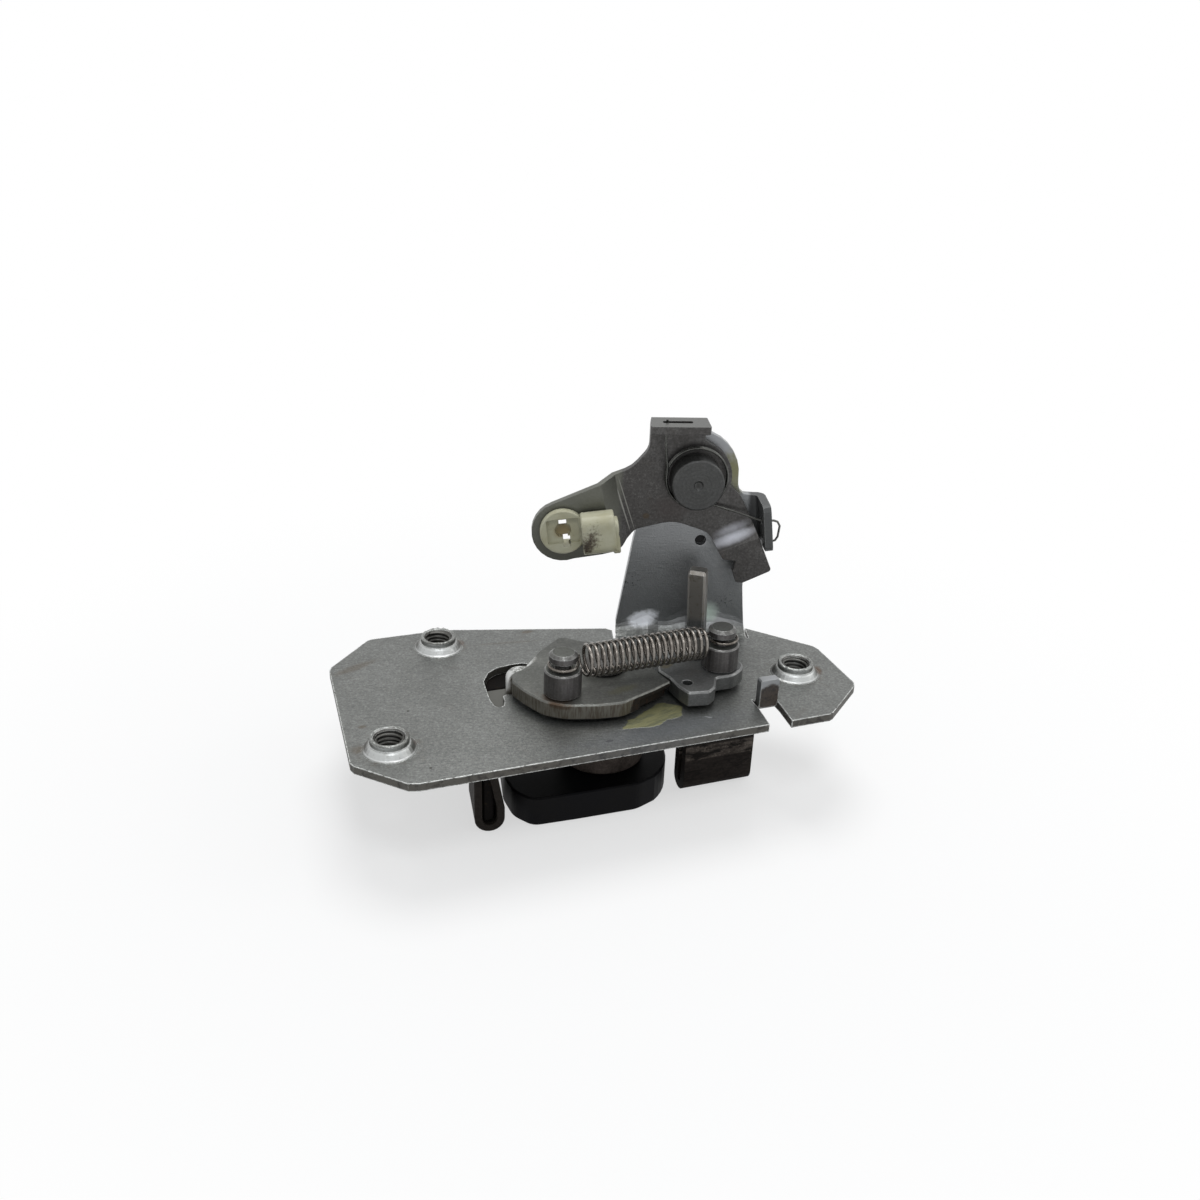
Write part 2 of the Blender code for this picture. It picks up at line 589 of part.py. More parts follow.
# Pawl
pawl_line = [(17.4, -13.4, 1.2), (18.9, -18.2), (19.5, -24.05), (20.8, -28.3, 0.8), (27.1, -29.3, 1.5),
             (29.7, -27.4, 1.2), (32.5, -22.2, 1.5), (38.0, -22.4, 4.5), (44.1, -18.5, 5.5), (43.2, -8.0, 3.0),
             (43.4, 6.0, 2.0), (36.2, 8.0, 2.0), (34.5, 3.0, 4.0), (24.5, 1.6, 6.0), (23.2, -8.5, 4.0),
             (18.2, -10.6, 1.2)]
pawl = add("pawl", prism(rounded(pawl_line), CAM_LOW, CAM_TOP, chamfer=0.5), ZINC)
# Lug bent up from the back arm
turned = at(LUG[0], LUG[1]) @ Matrix.Rotation(math.radians(LUG_TURN), 4, "Z")
half = LUG_SIDE / 2
lug_side = [(-9.0, CAM_LOW + 0.1), (-1.5, CAM_LOW + 0.1), (1.0, CAM_LOW + 0.8), (2.2, CAM_LOW + 2.2),
            (half, CAM_LOW + 4.6), (half, LUG_TOP - 1.0), (half - 1.0, LUG_TOP), (-half + 1.0, LUG_TOP),
            (-half, LUG_TOP - 1.0), (-half, CAM_TOP + 1.4), (-half - 0.5, CAM_TOP + 0.3),
            (-half - 1.5, CAM_TOP - 0.1), (-9.0, CAM_TOP - 0.1)]
lug = prism(lug_side, -half, half, turned @ Matrix(((0, 0, 1, 0), (1, 0, 0, 0), (0, 1, 0, 0), (0, 0, 0, 1))), chamfer=0.6)
for v in lug.verts:
    v.co.x -= LUG_LEAN * max(0.0, v.co.z - CAM_TOP)
join(pawl, add("pawl_lug", lug, cutter=True), "UNION")
pin_cut = prism(ring(PAWL, PAWL_PIN_R + GAP, count=24), PLATE_TOP - 2, CAM_TOP + 2)
join(pawl, add("pawl_bore_cut", pin_cut, cutter=True), "DIFFERENCE")
hole_cut = prism(ring((22.8, -22.65), 1.6, count=20), PLATE_TOP - 2, CAM_TOP + 2)
join(pawl, add("pawl_hole_cut_top", hole_cut, cutter=True), "DIFFERENCE")
foot = under - GUIDE_SHEET - GAP
rivet = lathe([(0, foot - 2.2), (4.6, foot - 2.2), (5.6, foot - 1.2), (5.6, foot), (PAWL_PIN_R, foot), (PAWL_PIN_R, CAM_TOP + GAP),
               (5.4, CAM_TOP + GAP), (5.4, CAM_TOP + 1.4), (4.4, CAM_TOP + 2.3), (0, CAM_TOP + 2.3)], 28, at(*PAWL))
add("pawl_rivet", rivet, BRIGHT)
pawl_washer = lathe([(PAWL_PIN_R + GAP, PLATE_TOP + GAP), (6.6, PLATE_TOP + GAP), (6.6, CAM_LOW - GAP),
                     (PAWL_PIN_R + GAP, CAM_LOW - GAP)], 28, at(*PAWL))
add("pawl_washer", pawl_washer, BRIGHT)


# Tension spring between the posts
def tension_path():
    a = Vector((*LEFT_POST, HOOK_Z))
    b = Vector((*RIGHT_POST, HOOK_Z))
    along = (b - a).normalized()
    side = Vector((-along.y, along.x, 0))
    high = Vector((0, 0, 1))
    span = (b - a).length
    eye = EYE_INNER + WIRE_R
    clear = POST_R + WIRE_R + 0.35
    # The right eye stands off its neck on the side that the pawl swings it to
    shift = Vector((0.84, 0.54, 0))
    path = []
    for k in range(17):
        t = math.radians(60 + 285 * (1 - k / 16) - 60)
        path.append(a + along * eye * math.cos(t + math.radians(75)) + side * eye * math.sin(t + math.radians(75)))
    count = COIL_TURNS * 10
    for k in range(count + 1):
        t = 2 * math.pi * k / 10
        grow = min(1.0, 0.82 + 0.03 * k, 0.82 + 0.03 * (count - k))
        r = COIL_R * grow
        path.append(a + along * (clear + (span - 2 * clear) * k / count) + side * r * math.cos(t) - high * r * math.sin(t))
    for k in range(17):
        t = math.radians(105 - 285 * k / 16)
        path.append(b + shift + along * eye * math.cos(t) + side * eye * math.sin(t))
    return path


spring = add("tension_spring", tube(tension_path(), WIRE_R), BRIGHT, origin=(*RIGHT_POST, HOOK_Z))


# Release lever: a cut sheet, then its bends
def lever_mesh():
    """The sheet's front face, with x and z measured from the axle."""
    front = LEVER_BACK - LEVER_SHEET
    eye = [tuple(p) for p in ring((EYE[0] - AXLE_S, EYE[1] - AXLE_Z), EYE_R, 112, 292, 14)]
    head = [tuple(p) for p in ring((0, 0), 11.6, -12, 60, 6)]
    outline = rounded([
        (-14.6, FLANGE_Z), (-14.6, 9.1, 5.0), (-19.5, 3.1, 10.0), *eye,
        (-28.5, -24.3, 4.0), (-21.9, -22.7, 2.0), (-17.9, -17.3, 4.0), (-6.0, -14.3, 12.0), (5.5, -18.3, 6.0),
        (10.1, -25.9, 1.5), (14.3, -26.4, 0.6), (13.5, -30.1, 0.5), (14.8, -33.7, 0.5), (17.1, -34.0, 0.8),
        (26.0, -29.7, 1.0), (19.7, -15.3, 1.5), (15.1, -6.3, 4.0), *head, (2.4, 12.1), (2.2, FLANGE_Z),
    ])
    bm = bmesh.new()
    bm.faces.new([bm.verts.new((p.x, front, p.y)) for p in outline])

    def split(p, q):
        along = Vector((q[0] - p[0], 0, q[1] - p[1]))
        normal = along.cross(Vector((0, 1, 0))).normalized()
        everything = bm.verts[:] + bm.edges[:] + bm.faces[:]
        bmesh.ops.bisect_plane(bm, geom=everything, dist=1e-5, plane_co=(p[0], 0, p[1]), plane_no=normal)
        return Vector((p[0], 0, p[1])), normal

    arm_first = split((-24.9, 0.6), (-20.1, -20.8))
    arm_last = split((-29.5, -1.3), (-24.7, -22.7))
    tongue_first = split((6.7, -20.7), (19.9, -15.3))
    tongue_last = split((7.96, -23.75), (21.16, -18.35))

    def share(first, last, p):
        """0 before the first bend line and 1 past the last, for the point p."""
        flat = Vector((p.x, 0, p.z))
        side = 1.0 if (last[0] - first[0]).dot(first[1]) > 0 else -1.0
        whole = abs((last[0] - first[0]).dot(first[1]))
        return max(0.0, min(1.0, (flat - first[0]).dot(first[1]) * side / whole))

    for v in bm.verts:
        arm = share(arm_first, arm_last, v.co)
        tongue = share(tongue_first, tongue_last, v.co)
        v.co.y -= ARM_STEP * arm + TONGUE_STEP * tongue
    # Top flange folded toward the front
    bm.verts.ensure_lookup_table()
    ends = sorted((v for v in bm.verts if abs(v.co.z - FLANGE_Z) < 1e-4), key=lambda v: v.co.x)
    row = [ends[0], ends[-1]]
    turn = 1.4
    for k in range(1, 4):
        a = math.radians(30 * k)
        out, rise = front - turn * (1 - math.cos(a)), FLANGE_Z + turn * math.sin(a)
        new = [bm.verts.new((v.co.x, out, rise)) for v in ends[:1] + ends[-1:]]
        bm.faces.new((row[0], row[1], new[1], new[0]))
        row = new
    z = FLANGE_Z + turn
    tip = [bm.verts.new(c) for c in ((2.2, -15.3, z), (1.8, -15.8, z), (-15.4, -15.8, z), (-15.8, -15.3, z))]
    bm.faces.new((row[0], row[1], *tip))
    bmesh.ops.recalc_face_normals(bm, faces=bm.faces)
    big = max(bm.faces, key=lambda f: f.calc_area())
    if big.normal.y > 0:
        bmesh.ops.reverse_faces(bm, faces=bm.faces)
    return bm


axle = up(AXLE_S, LEVER_BACK, AXLE_Z)
lever_bm = lever_mesh()
lever_bm.transform(Matrix.Scale(MM, 4) @ at(*-axle) @ UPRIGHT @ at(AXLE_S, 0, AXLE_Z))
lever_data = bpy.data.meshes.new("release_lever")
lever_bm.to_mesh(lever_data)
lever_bm.free()
lever = bpy.data.objects.new("release_lever", lever_data)
lever.location = axle * MM
lever.parent = root
bpy.context.scene.collection.objects.link(lever)
lever_data.materials.append(colour_of("release_lever", *DARK))
sheet = lever.modifiers.new("sheet", "SOLIDIFY")
sheet.thickness = LEVER_SHEET * MM
sheet.offset = -1.0
sheet.use_even_offset = True
lever_bore = prism(ring((AXLE_S, AXLE_Z), 4.0 + GAP, count=28), 1, 8, FACING)
join(lever, add("lever_bore_cut", lever_bore, cutter=True), "DIFFERENCE")
eye_cut = prism(ring(CLIP_AT, 5.6, count=32), 4, 14, FACING)
join(lever, add("lever_eye_cut", eye_cut, cutter=True), "DIFFERENCE")
slot_line = rounded([(-11.8, -12.0, 0.6), (-11.8, -9.8, 0.6), (-2.8, -9.8, 0.6), (-2.8, -12.0, 0.6)])
flange_slot = prism(slot_line, FLANGE_Z - 3, FLANGE_Z + 9, UPRIGHT @ at(AXLE_S, 0, AXLE_Z))
join(lever, add("flange_slot_cut", flange_slot, cutter=True), "DIFFERENCE")

# Lever rivet with its drum, and the washer behind the lever
FACE = FACING @ at(AXLE_S, AXLE_Z)
drum_back = -(LEVER_BACK - LEVER_SHEET - GAP)
rivet_line = [(0, -2.4), (5.2, -2.4), (6.2, -1.4), (6.2, -GAP), (4.0, -GAP), (4.0, drum_back), (DRUM_R, drum_back),
              (DRUM_R, -DRUM_FRONT - 0.4), (DRUM_R - 0.4, -DRUM_FRONT), (1.6, -DRUM_FRONT), (1.1, -DRUM_FRONT - 0.5),
              (0, -DRUM_FRONT - 0.5)]
add("lever_rivet", lathe(rivet_line, 40, FACE), DARK)


# Torsion spring round the drum
def torsion_path():
    """The wire's line; its points are measured from the axle."""
    points = [(25.4, -8.6, -19.9), (26.4, -8.6, -19.6), (27.1, -8.6, -18.3), (27.4, -8.6, -14.7), (26.6, -8.6, -13.3),
              (25.4, -8.6, -12.9), (22.1, -8.6, -12.9), (19.9, -8.3, -12.6), (12.5, -7.1, -10.3), (6.0, -6.3, -8.3)]
    turns = 2.29
    first = -74.0
    for k in range(int(turns * 18) + 1):
        a = math.radians(first - 20 * k)
        off = -6.2 - 2.4 * k / (turns * 18)
        points.append((0.2 + TORSION_R * math.cos(a), off, 0.75 + TORSION_R * math.sin(a)))
    points += [(-9.3, -8.9, 4.7), (-10.2, -9.6, 10.7), (-10.5, -10.9, 15.2), (-10.5, -10.9, 18.7), (-10.5, -10.9, 20.3)]
    return [up(AXLE_S + s, off, AXLE_Z + z) for s, off, z in points]


add("torsion_spring", tube(torsion_path(), TORSION_WIRE_R), BRIGHT, origin=tuple(axle))


# Rod clip: a stem snapped through the lever's eye, a disc with a pocket in it, and a barrel for the rod
def clip():
    arm_front = -(LEVER_BACK - LEVER_SHEET - ARM_STEP)
    arm_back = -(LEVER_BACK - ARM_STEP)
    tilt = math.radians(7.0)
    place = FACING @ at(*CLIP_AT) @ Matrix.Rotation(tilt, 4, "Z")
    disc = lathe([(0, arm_back - 1.5), (5.0, arm_back - 1.5), (6.1, arm_back - 0.9), (6.1, arm_back - GAP),
                  (5.2, arm_back - GAP), (5.2, arm_front + GAP), (CLIP_R, arm_front + GAP),
                  (CLIP_R, arm_front + 2.2), (CLIP_R - 0.4, arm_front + 2.6), (0, arm_front + 2.6)], 36, place)
    obj = add("rod_clip", disc, CREAM, origin=tuple(FACING @ Vector((*CLIP_AT, arm_front))))
    low, high = arm_front + 1.0, arm_front + 8.4
    side = rounded([(-6.7, low, 1.0), (5.7, low, 1.0), (5.7, high, 3.0), (-6.7, high, 3.0)])
    turn_up = Matrix(((0, 0, 1, 0), (1, 0, 0, 0), (0, 1, 0, 0), (0, 0, 0, 1)))
    barrel = prism(side, 5.6, 15.9, place @ turn_up, chamfer=0.4)
    join(obj, add("clip_barrel", barrel, cutter=True), "UNION")
    lip_side = rounded([(-7.3, low + 0.6, 1.0), (3.6, low + 0.6, 1.0), (3.6, high - 0.8, 2.0), (-7.3, high - 0.8, 2.0)])
    lip = prism(lip_side, 14.8, 17.0, place @ turn_up, chamfer=0.3)
    join(obj, add("clip_lip", lip, cutter=True), "UNION")
    pocket = prism(rounded([(-4.9, -3.6, 0.5), (5.0, -3.6, 0.5), (5.0, 4.4, 0.5), (-4.9, 4.4, 0.5)]),
                   arm_front + 1.3, arm_front + 12, place)
    join(obj, add("clip_pocket_cut", pocket, cutter=True), "DIFFERENCE")
    socket = prism(ring((0.0, 0.4), 2.5, count=24), arm_front - 0.3, arm_front + 12, place)
    join(obj, add("clip_socket_cut", socket, cutter=True), "DIFFERENCE")
    hollow = prism(ring((0.0, 0.0), 3.9, count=24), arm_back - 4, arm_front - 1.1, place)
    join(obj, add("clip_hollow_cut", hollow, cutter=True), "DIFFERENCE")
    for i, (x, y, wide, tall) in enumerate(((0.1, 2.7, 1.2, 1.1), (0.9, -3.3, 1.1, 1.6))):
        window = prism([(x - wide, y - tall), (x + wide, y - tall), (x + wide, y + tall), (x - wide, y + tall)], -4, 20, place)
        join(obj, add(f"clip_window_cut_{i}", window, cutter=True), "DIFFERENCE")
    channel = prism(ring((-0.5, low + 3.9), 2.6, count=24), 3.0, 24.0, place @ turn_up)
    join(obj, add("clip_channel_cut", channel, cutter=True), "DIFFERENCE")


clip()
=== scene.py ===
"""Looks for the tailgate lock: finishes, springs, threads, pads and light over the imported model."""

import math

import bmesh
import bpy
from mathutils import Matrix, Vector, noise


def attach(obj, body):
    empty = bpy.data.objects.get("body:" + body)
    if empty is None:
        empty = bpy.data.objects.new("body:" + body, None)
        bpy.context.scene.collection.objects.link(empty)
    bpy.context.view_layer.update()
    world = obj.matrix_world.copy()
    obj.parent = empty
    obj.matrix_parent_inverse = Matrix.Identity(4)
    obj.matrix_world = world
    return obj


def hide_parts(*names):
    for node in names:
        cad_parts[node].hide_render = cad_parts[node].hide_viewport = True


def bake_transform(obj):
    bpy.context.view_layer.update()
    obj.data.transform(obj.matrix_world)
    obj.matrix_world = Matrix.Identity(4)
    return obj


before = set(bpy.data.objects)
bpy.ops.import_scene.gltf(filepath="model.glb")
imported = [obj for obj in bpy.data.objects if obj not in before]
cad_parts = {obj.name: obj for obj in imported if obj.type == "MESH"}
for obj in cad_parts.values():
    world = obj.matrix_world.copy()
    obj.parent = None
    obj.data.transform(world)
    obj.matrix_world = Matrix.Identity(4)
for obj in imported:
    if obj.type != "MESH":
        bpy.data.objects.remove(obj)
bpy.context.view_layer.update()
MM = 0.001

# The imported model's own places, in millimetres
PLATE_TOP = 34.0
PLATE_SHEET = 2.5
LEFT_POST = (-14.4, -17.45)
RIGHT_POST = (36.4, -15.65)
HOOK_Z = PLATE_TOP + 15.4
COLLARS = ((-65.9, -22.75), (-40.0, 31.15), (62.6, -16.15))
COLLAR_TOP = PLATE_TOP + 3.7
AXLE_S, AXLE_Z = 25.5, 55.3
UPRIGHT_TURN = math.radians(-15.58)
UPRIGHT = Matrix.Translation((15.6, 28.25, PLATE_TOP)) @ Matrix.Rotation(UPRIGHT_TURN, 4, "Z")
ACROSS = tuple(UPRIGHT.to_3x3() @ Vector((1, 0, 0)))
ACROSS_ZERO = 7.44


def up(s, off, z):
    """A point given along the upright, off its face and above the plate."""
    return tuple(UPRIGHT @ Vector((s, off, z)))


def up_way(s, z):
    """A direction in the upright's face."""
    return tuple((UPRIGHT.to_3x3() @ Vector((s, 0, z))).normalized())


# Camera, fitted to the photograph
scene = bpy.context.scene
view_data = bpy.data.cameras.new("view")
view = bpy.data.objects.new("view", view_data)
scene.collection.objects.link(view)
view_right = Vector((0.94054, -0.33788, 0.0350))
view_down = Vector((-0.1187, -0.42346, -0.8981))
view_ahead = Vector((0.31827, 0.84055, -0.43839))
view_turn = Matrix((view_right, -view_down, -view_ahead)).transposed().to_4x4()
view.matrix_world = Matrix.Translation((-0.11175, -0.30227, 0.21716)) @ view_turn
view_data.sensor_width = 36.0
view_data.lens = 36.024
view_data.clip_start = 0.01
scene.camera = view


# Node trees
class Net:
    """A node tree, with a short call for each kind of node that the finishes are made of."""

    def __init__(self, tree):
        self.tree = tree

    def new(self, kind, **settings):
        node = self.tree.nodes.new(kind)
        for key, value in settings.items():
            setattr(node, key, value)
        return node

    def put(self, value, socket):
        if isinstance(value, bpy.types.NodeSocket):
            self.tree.links.new(value, socket)
        elif isinstance(value, tuple) and len(value) == 3 and socket.type == "RGBA":
            socket.default_value = (*value, 1.0)
        else:
            socket.default_value = value

    def math(self, kind, *values):
        node = self.new("ShaderNodeMath", operation=kind)
        for value, socket in zip(values, node.inputs):
            self.put(value, socket)
        return node.outputs[0]

    def chain(self, kind, values):
        total = values[0]
        for value in values[1:]:
            total = self.math(kind, total, value)
        return total

    def both(self, *masks):
        return self.chain("MULTIPLY", masks)

    def most(self, *masks):
        return self.chain("MAXIMUM", masks)

    def least(self, *values):
        return self.chain("MINIMUM", values)

    def vector(self, kind, a, b):
        node = self.new("ShaderNodeVectorMath", operation=kind)
        self.put(a, node.inputs[0])
        self.put(b, node.inputs["Scale"] if kind == "SCALE" else node.inputs[1])
        return node.outputs["Value"] if kind in ("DISTANCE", "DOT_PRODUCT") else node.outputs[0]

    def cloud(self, where, size, detail=4.0, rough=0.6, warp=0.0):
        """Noise whose blotches are about size wide."""
        node = self.new("ShaderNodeTexNoise")
        self.put(where, node.inputs["Vector"])
        scale = self.math("DIVIDE", 1.0, size) if isinstance(size, bpy.types.NodeSocket) else 1.0 / size
        self.put(scale, node.inputs["Scale"])
        node.inputs["Detail"].default_value = detail
        node.inputs["Roughness"].default_value = rough
        node.inputs["Distortion"].default_value = warp
        return node.outputs["Fac"]

    def step(self, value, zero, one):
        """0 at one value and 1 at another, eased between them."""
        node = self.new("ShaderNodeMapRange", interpolation_type="SMOOTHSTEP")
        for number, socket in zip((value, zero, one), node.inputs):
            self.put(number, socket)
        return node.outputs[0]

    def mix(self, share, a, b):
        node = self.new("ShaderNodeMix", data_type="RGBA")
        for value, socket in zip((share, a, b), (node.inputs[0], node.inputs[6], node.inputs[7])):
            self.put(value, socket)
        return node.outputs[2]

    def between(self, share, a, b):
        node = self.new("ShaderNodeMix", data_type="FLOAT")
        for value, socket in zip((share, a, b), (node.inputs[0], node.inputs[2], node.inputs[3])):
            self.put(value, socket)
        return node.outputs[0]

    def seen(self):
        """1 for what the camera, glossy surfaces and clear ones see, and 0 for what only lights things."""
        rays = self.new("ShaderNodeLightPath").outputs
        return self.most(rays["Is Camera Ray"], rays["Is Glossy Ray"], rays["Is Transmission Ray"])


def effect(name, output, inputs):
    """A shader node group; gives its tree, its net, its input sockets and the socket for its result."""
    tree = bpy.data.node_groups.new(name, "ShaderNodeTree")
    for label, value in inputs.items():
        kind = "NodeSocketVector" if isinstance(value, tuple) else "NodeSocketFloat"
        tree.interface.new_socket(label, in_out="INPUT", socket_type=kind).default_value = value
    kind = "NodeSocketVector" if output == "Normal" else "NodeSocketFloat"
    tree.interface.new_socket(output, in_out="OUTPUT", socket_type=kind)
    net = Net(tree)
    given = net.new("NodeGroupInput").outputs
    result = net.new("NodeGroupOutput").inputs[output]
    return tree, net, given, result


HERE = (0.0, 0.0, 0.0)

# A smear: an oval mark with a ragged rim
smear_tree, net, given, result = effect("smear", "Mask", {
    "Point": HERE, "Centre": HERE, "Along": (1.0, 0.0, 0.0), "Long": 5.0, "Wide": 5.0, "Soft": 0.4,
    "Wobble": 0.3, "Grain": 2.0})
gap = net.vector("SUBTRACT", given["Point"], given["Centre"])
along = net.vector("DOT_PRODUCT", gap, given["Along"])
aside = net.math("SUBTRACT", net.vector("DOT_PRODUCT", gap, gap), net.math("MULTIPLY", along, along))
lengthwise = net.math("POWER", net.math("ABSOLUTE", net.math("DIVIDE", along, given["Long"])), 2.0)
sideways = net.math("DIVIDE", aside, net.math("MULTIPLY", given["Wide"], given["Wide"]))
ragged = net.both(net.math("SUBTRACT", net.cloud(given["Point"], given["Grain"]), 0.5), given["Wobble"])
reach = net.math("ADD", net.math("SQRT", net.math("ADD", lengthwise, sideways)), net.both(ragged, 2.0))
net.put(net.step(reach, 1.0, net.math("SUBTRACT", 1.0, given["Soft"])), result)

# Bare metal along worn edges, broken up by chips
edge_tree, net, given, result = effect("edge_wear", "Mask", {
    "Point": HERE, "Width": 0.5, "Chip": 3.0, "Cover": 0.5})
bevel = net.new("ShaderNodeBevel", samples=6)
net.put(net.both(given["Width"], MM), bevel.inputs["Radius"])
true_normal = net.new("ShaderNodeNewGeometry").outputs["Normal"]
turned = net.math("SUBTRACT", 1.0, net.vector("DOT_PRODUCT", true_normal, bevel.outputs[0]))
chips = net.cloud(given["Point"], given["Chip"], 4.0, 0.7)
bare_from = net.math("SUBTRACT", 0.92, given["Cover"])
kept = net.step(chips, bare_from, net.math("SUBTRACT", 1.08, given["Cover"]))
net.put(net.both(net.step(turned, 0.015, 0.2), kept), result)

# The fine lines that rolling leaves in sheet
grain_tree, net, given, result = effect("rolled_grain", "Grain", {
    "Point": HERE, "Size": 0.5, "Length": 8.0, "Turn": 0.0})
turned = net.new("ShaderNodeVectorRotate", rotation_type="Z_AXIS")
net.put(given["Point"], turned.inputs["Vector"])
net.put(given["Turn"], turned.inputs["Angle"])
shape = net.new("ShaderNodeCombineXYZ")
net.put(net.math("DIVIDE", 1.0, given["Length"]), shape.inputs[0])
shape.inputs[1].default_value = 1.0
shape.inputs[2].default_value = 1.0
stretched = net.vector("MULTIPLY", turned.outputs[0], shape.outputs[0])
net.put(net.cloud(stretched, given["Size"], 3.0, 0.6), result)

# Blotches, for stains, rust and dirt
blotch_tree, net, given, result = effect("blotches", "Mask", {
    "Point": HERE, "Size": 8.0, "Cover": 0.4, "Soft": 0.15})
worn = net.cloud(given["Point"], given["Size"], 6.0, 0.68, 0.6)
middle = net.math("SUBTRACT", 0.7, net.both(given["Cover"], 0.4))
net.put(net.step(worn, middle, net.math("ADD", middle, given["Soft"])), result)

# Surface relief over softened edges
relief_tree, net, given, result = effect("relief", "Normal", {"Height": 0.5, "Depth": 0.05, "Round": 0.3})
bevel = net.new("ShaderNodeBevel", samples=6)
net.put(net.both(given["Round"], MM), bevel.inputs["Radius"])
bump = net.new("ShaderNodeBump")
bump.inputs["Strength"].default_value = 0.6
net.put(net.both(given["Depth"], MM), bump.inputs["Distance"])
net.put(given["Height"], bump.inputs["Height"])
net.put(bevel.outputs[0], bump.inputs["Normal"])
net.put(bump.outputs[0], result)


class Finish(Net):
    """A material on the piece's own coordinates, in millimetres."""

    def __init__(self, name):
        self.material = bpy.data.materials.new(name)
        self.material.use_nodes = True
        super().__init__(self.material.node_tree)
        self.shader = self.tree.nodes["Principled BSDF"]
        self.point = self.vector("SCALE", self.new("ShaderNodeTexCoord").outputs["Object"], 1000.0)
        self.normal = self.new("ShaderNodeNewGeometry").outputs["Normal"]

    def place(self, tree, **values):
        node = self.new("ShaderNodeGroup", node_tree=tree)
        if "Point" in node.inputs:
            self.put(values.pop("Point", self.point), node.inputs["Point"])
        for label, value in values.items():
            self.put(value, node.inputs[label])
        return node.outputs[0]

    def blotches(self, size, cover, soft, **more):
        return self.place(blotch_tree, Size=size, Cover=cover, Soft=soft, **more)

    def height(self):
        return self.along((0.0, 0.0, 1.0))

    def along(self, direction):
        return self.vector("DOT_PRODUCT", self.point, tuple(direction))

    def across(self):
        """Millimetres along the upright, from its left edge on the plate."""
        return self.math("SUBTRACT", self.along(ACROSS), ACROSS_ZERO)

    def facing(self, direction):
        return self.vector("DOT_PRODUCT", self.normal, tuple(direction))

    def streaks(self, size, squash):
        """Noise drawn out along the height."""
        return self.cloud(self.vector("MULTIPLY", self.point, (1.0, 1.0, squash)), size, 3.0, 0.6)

    def smear(self, centre, long, wide=None, way=(1.0, 0.0, 0.0), soft=0.4, wobble=0.3, grain=2.0):
        return self.place(smear_tree, Centre=tuple(centre), Along=tuple(Vector(way).normalized()), Long=long,
                          Wide=wide or long, Soft=soft, Wobble=wobble, Grain=grain)

    def patch(self, corners, soft=0.5, wobble=1.6, grain=3.0):
        """A mark with nearly straight sides between corners, given anticlockwise on the plate's top."""
        depths = []
        for (ax, ay), (bx, by) in zip(corners, corners[1:] + corners[:1]):
            inward = Vector((ay - by, bx - ax, 0)).normalized()
            depths.append(self.math("SUBTRACT", self.along(inward), inward.x * ax + inward.y * ay))
        ragged = self.both(self.math("SUBTRACT", self.cloud(self.point, grain), 0.5), 2 * wobble)
        return self.step(self.math("ADD", self.least(*depths), ragged), 0.0, soft)

    def marks(self, colour, rows):
        """Lays smears over a colour, each with its own colour and share."""
        for place, shade, share in rows:
            colour = self.mix(self.both(self.smear(**place), share), colour, shade)
        return colour

    def done(self, colour, metallic, roughness, height, depth=0.05, soft_edge=0.3):
        self.put(colour, self.shader.inputs["Base Color"])
        self.put(metallic, self.shader.inputs["Metallic"])
        self.put(roughness, self.shader.inputs["Roughness"])
        normal = self.place(relief_tree, Height=height, Depth=depth, Round=soft_edge)
        self.put(normal, self.shader.inputs["Normal"])
        return self.material


def mark(centre, long, wide, shade, share, **shape):
    """One row of marks: a smear's place and shape, its colour and how much it covers."""
    return dict(centre=centre, long=long, wide=wide, **shape), shade, share


def steel(name, light, dark, brown=(0.07, 0.05, 0.032), stained=0.25, bare=(0.42, 0.42, 0.41), worn=0.6,
          gloss=0.5, kept=None, speckle=0.5, cover=0.45, rough=0.38, metallic=0.78, lines=0.25, details=None,
          depth=0.05):
    """Plated or bare steel: mottled, rolled, stained, and bare along its edges."""
    look = Finish(name)
    fine = look.cloud(look.point, 0.75, 4.0, 0.8)
    wide = look.cloud(look.point, 13.0, 5.0, 0.6, 0.4)
    grain = look.place(grain_tree, Size=0.42, Length=9.0, Turn=-UPRIGHT_TURN)
    deep = tuple(0.62 * c for c in dark)
    pale = tuple(1.5 * c for c in light)
    colour = look.mix(look.step(wide, 0.36, 0.66), light, dark)
    colour = look.mix(look.both(look.step(grain, 0.42, 0.68), lines), colour, deep)
    colour = look.mix(look.both(look.step(fine, 0.42, 0.7), speckle), colour, deep)
    colour = look.mix(look.both(look.step(fine, 0.46, 0.34), speckle, 0.5), colour, pale)
    stains = look.both(look.blotches(7.0, 0.3, 0.16), stained)
    colour = look.mix(stains, colour, brown)
    height = look.math("ADD", look.both(fine, 0.6), look.both(grain, 0.4))
    dull = stains
    if details:
        colour, dull, height = details(look, colour, dull, height)
    edges = look.place(edge_tree, Width=0.5, Chip=1.4, Cover=cover)
    if kept:
        edges = look.both(edges, kept(look))
    colour = look.mix(look.both(edges, worn), colour, bare)
    roughness = look.math("ADD", look.both(fine, 0.22), rough - 0.1)
    roughness = look.between(dull, roughness, 0.72)
    look.shader.inputs["Specular IOR Level"].default_value = gloss
    metal = look.between(look.most(dull, look.both(edges, worn, 0.5)), metallic, 0.2)
    return look.done(colour, metal, roughness, height, depth)


STAIN = (0.085, 0.066, 0.045)
RUST = (0.075, 0.04, 0.02)
SPOT = (0.02, 0.016, 0.012)
DRY_GREASE = (0.16, 0.13, 0.065)
GREASE = (0.20, 0.195, 0.085)
THIN_GREASE = (0.12, 0.125, 0.06)
GREASED = [(-4.6, -34.6), (1.6, -35.6), (8.2, -33.4), (16.6, -34.4), (20.6, -25.0), (15.6, -20.6),
           (2.0, -28.2)]

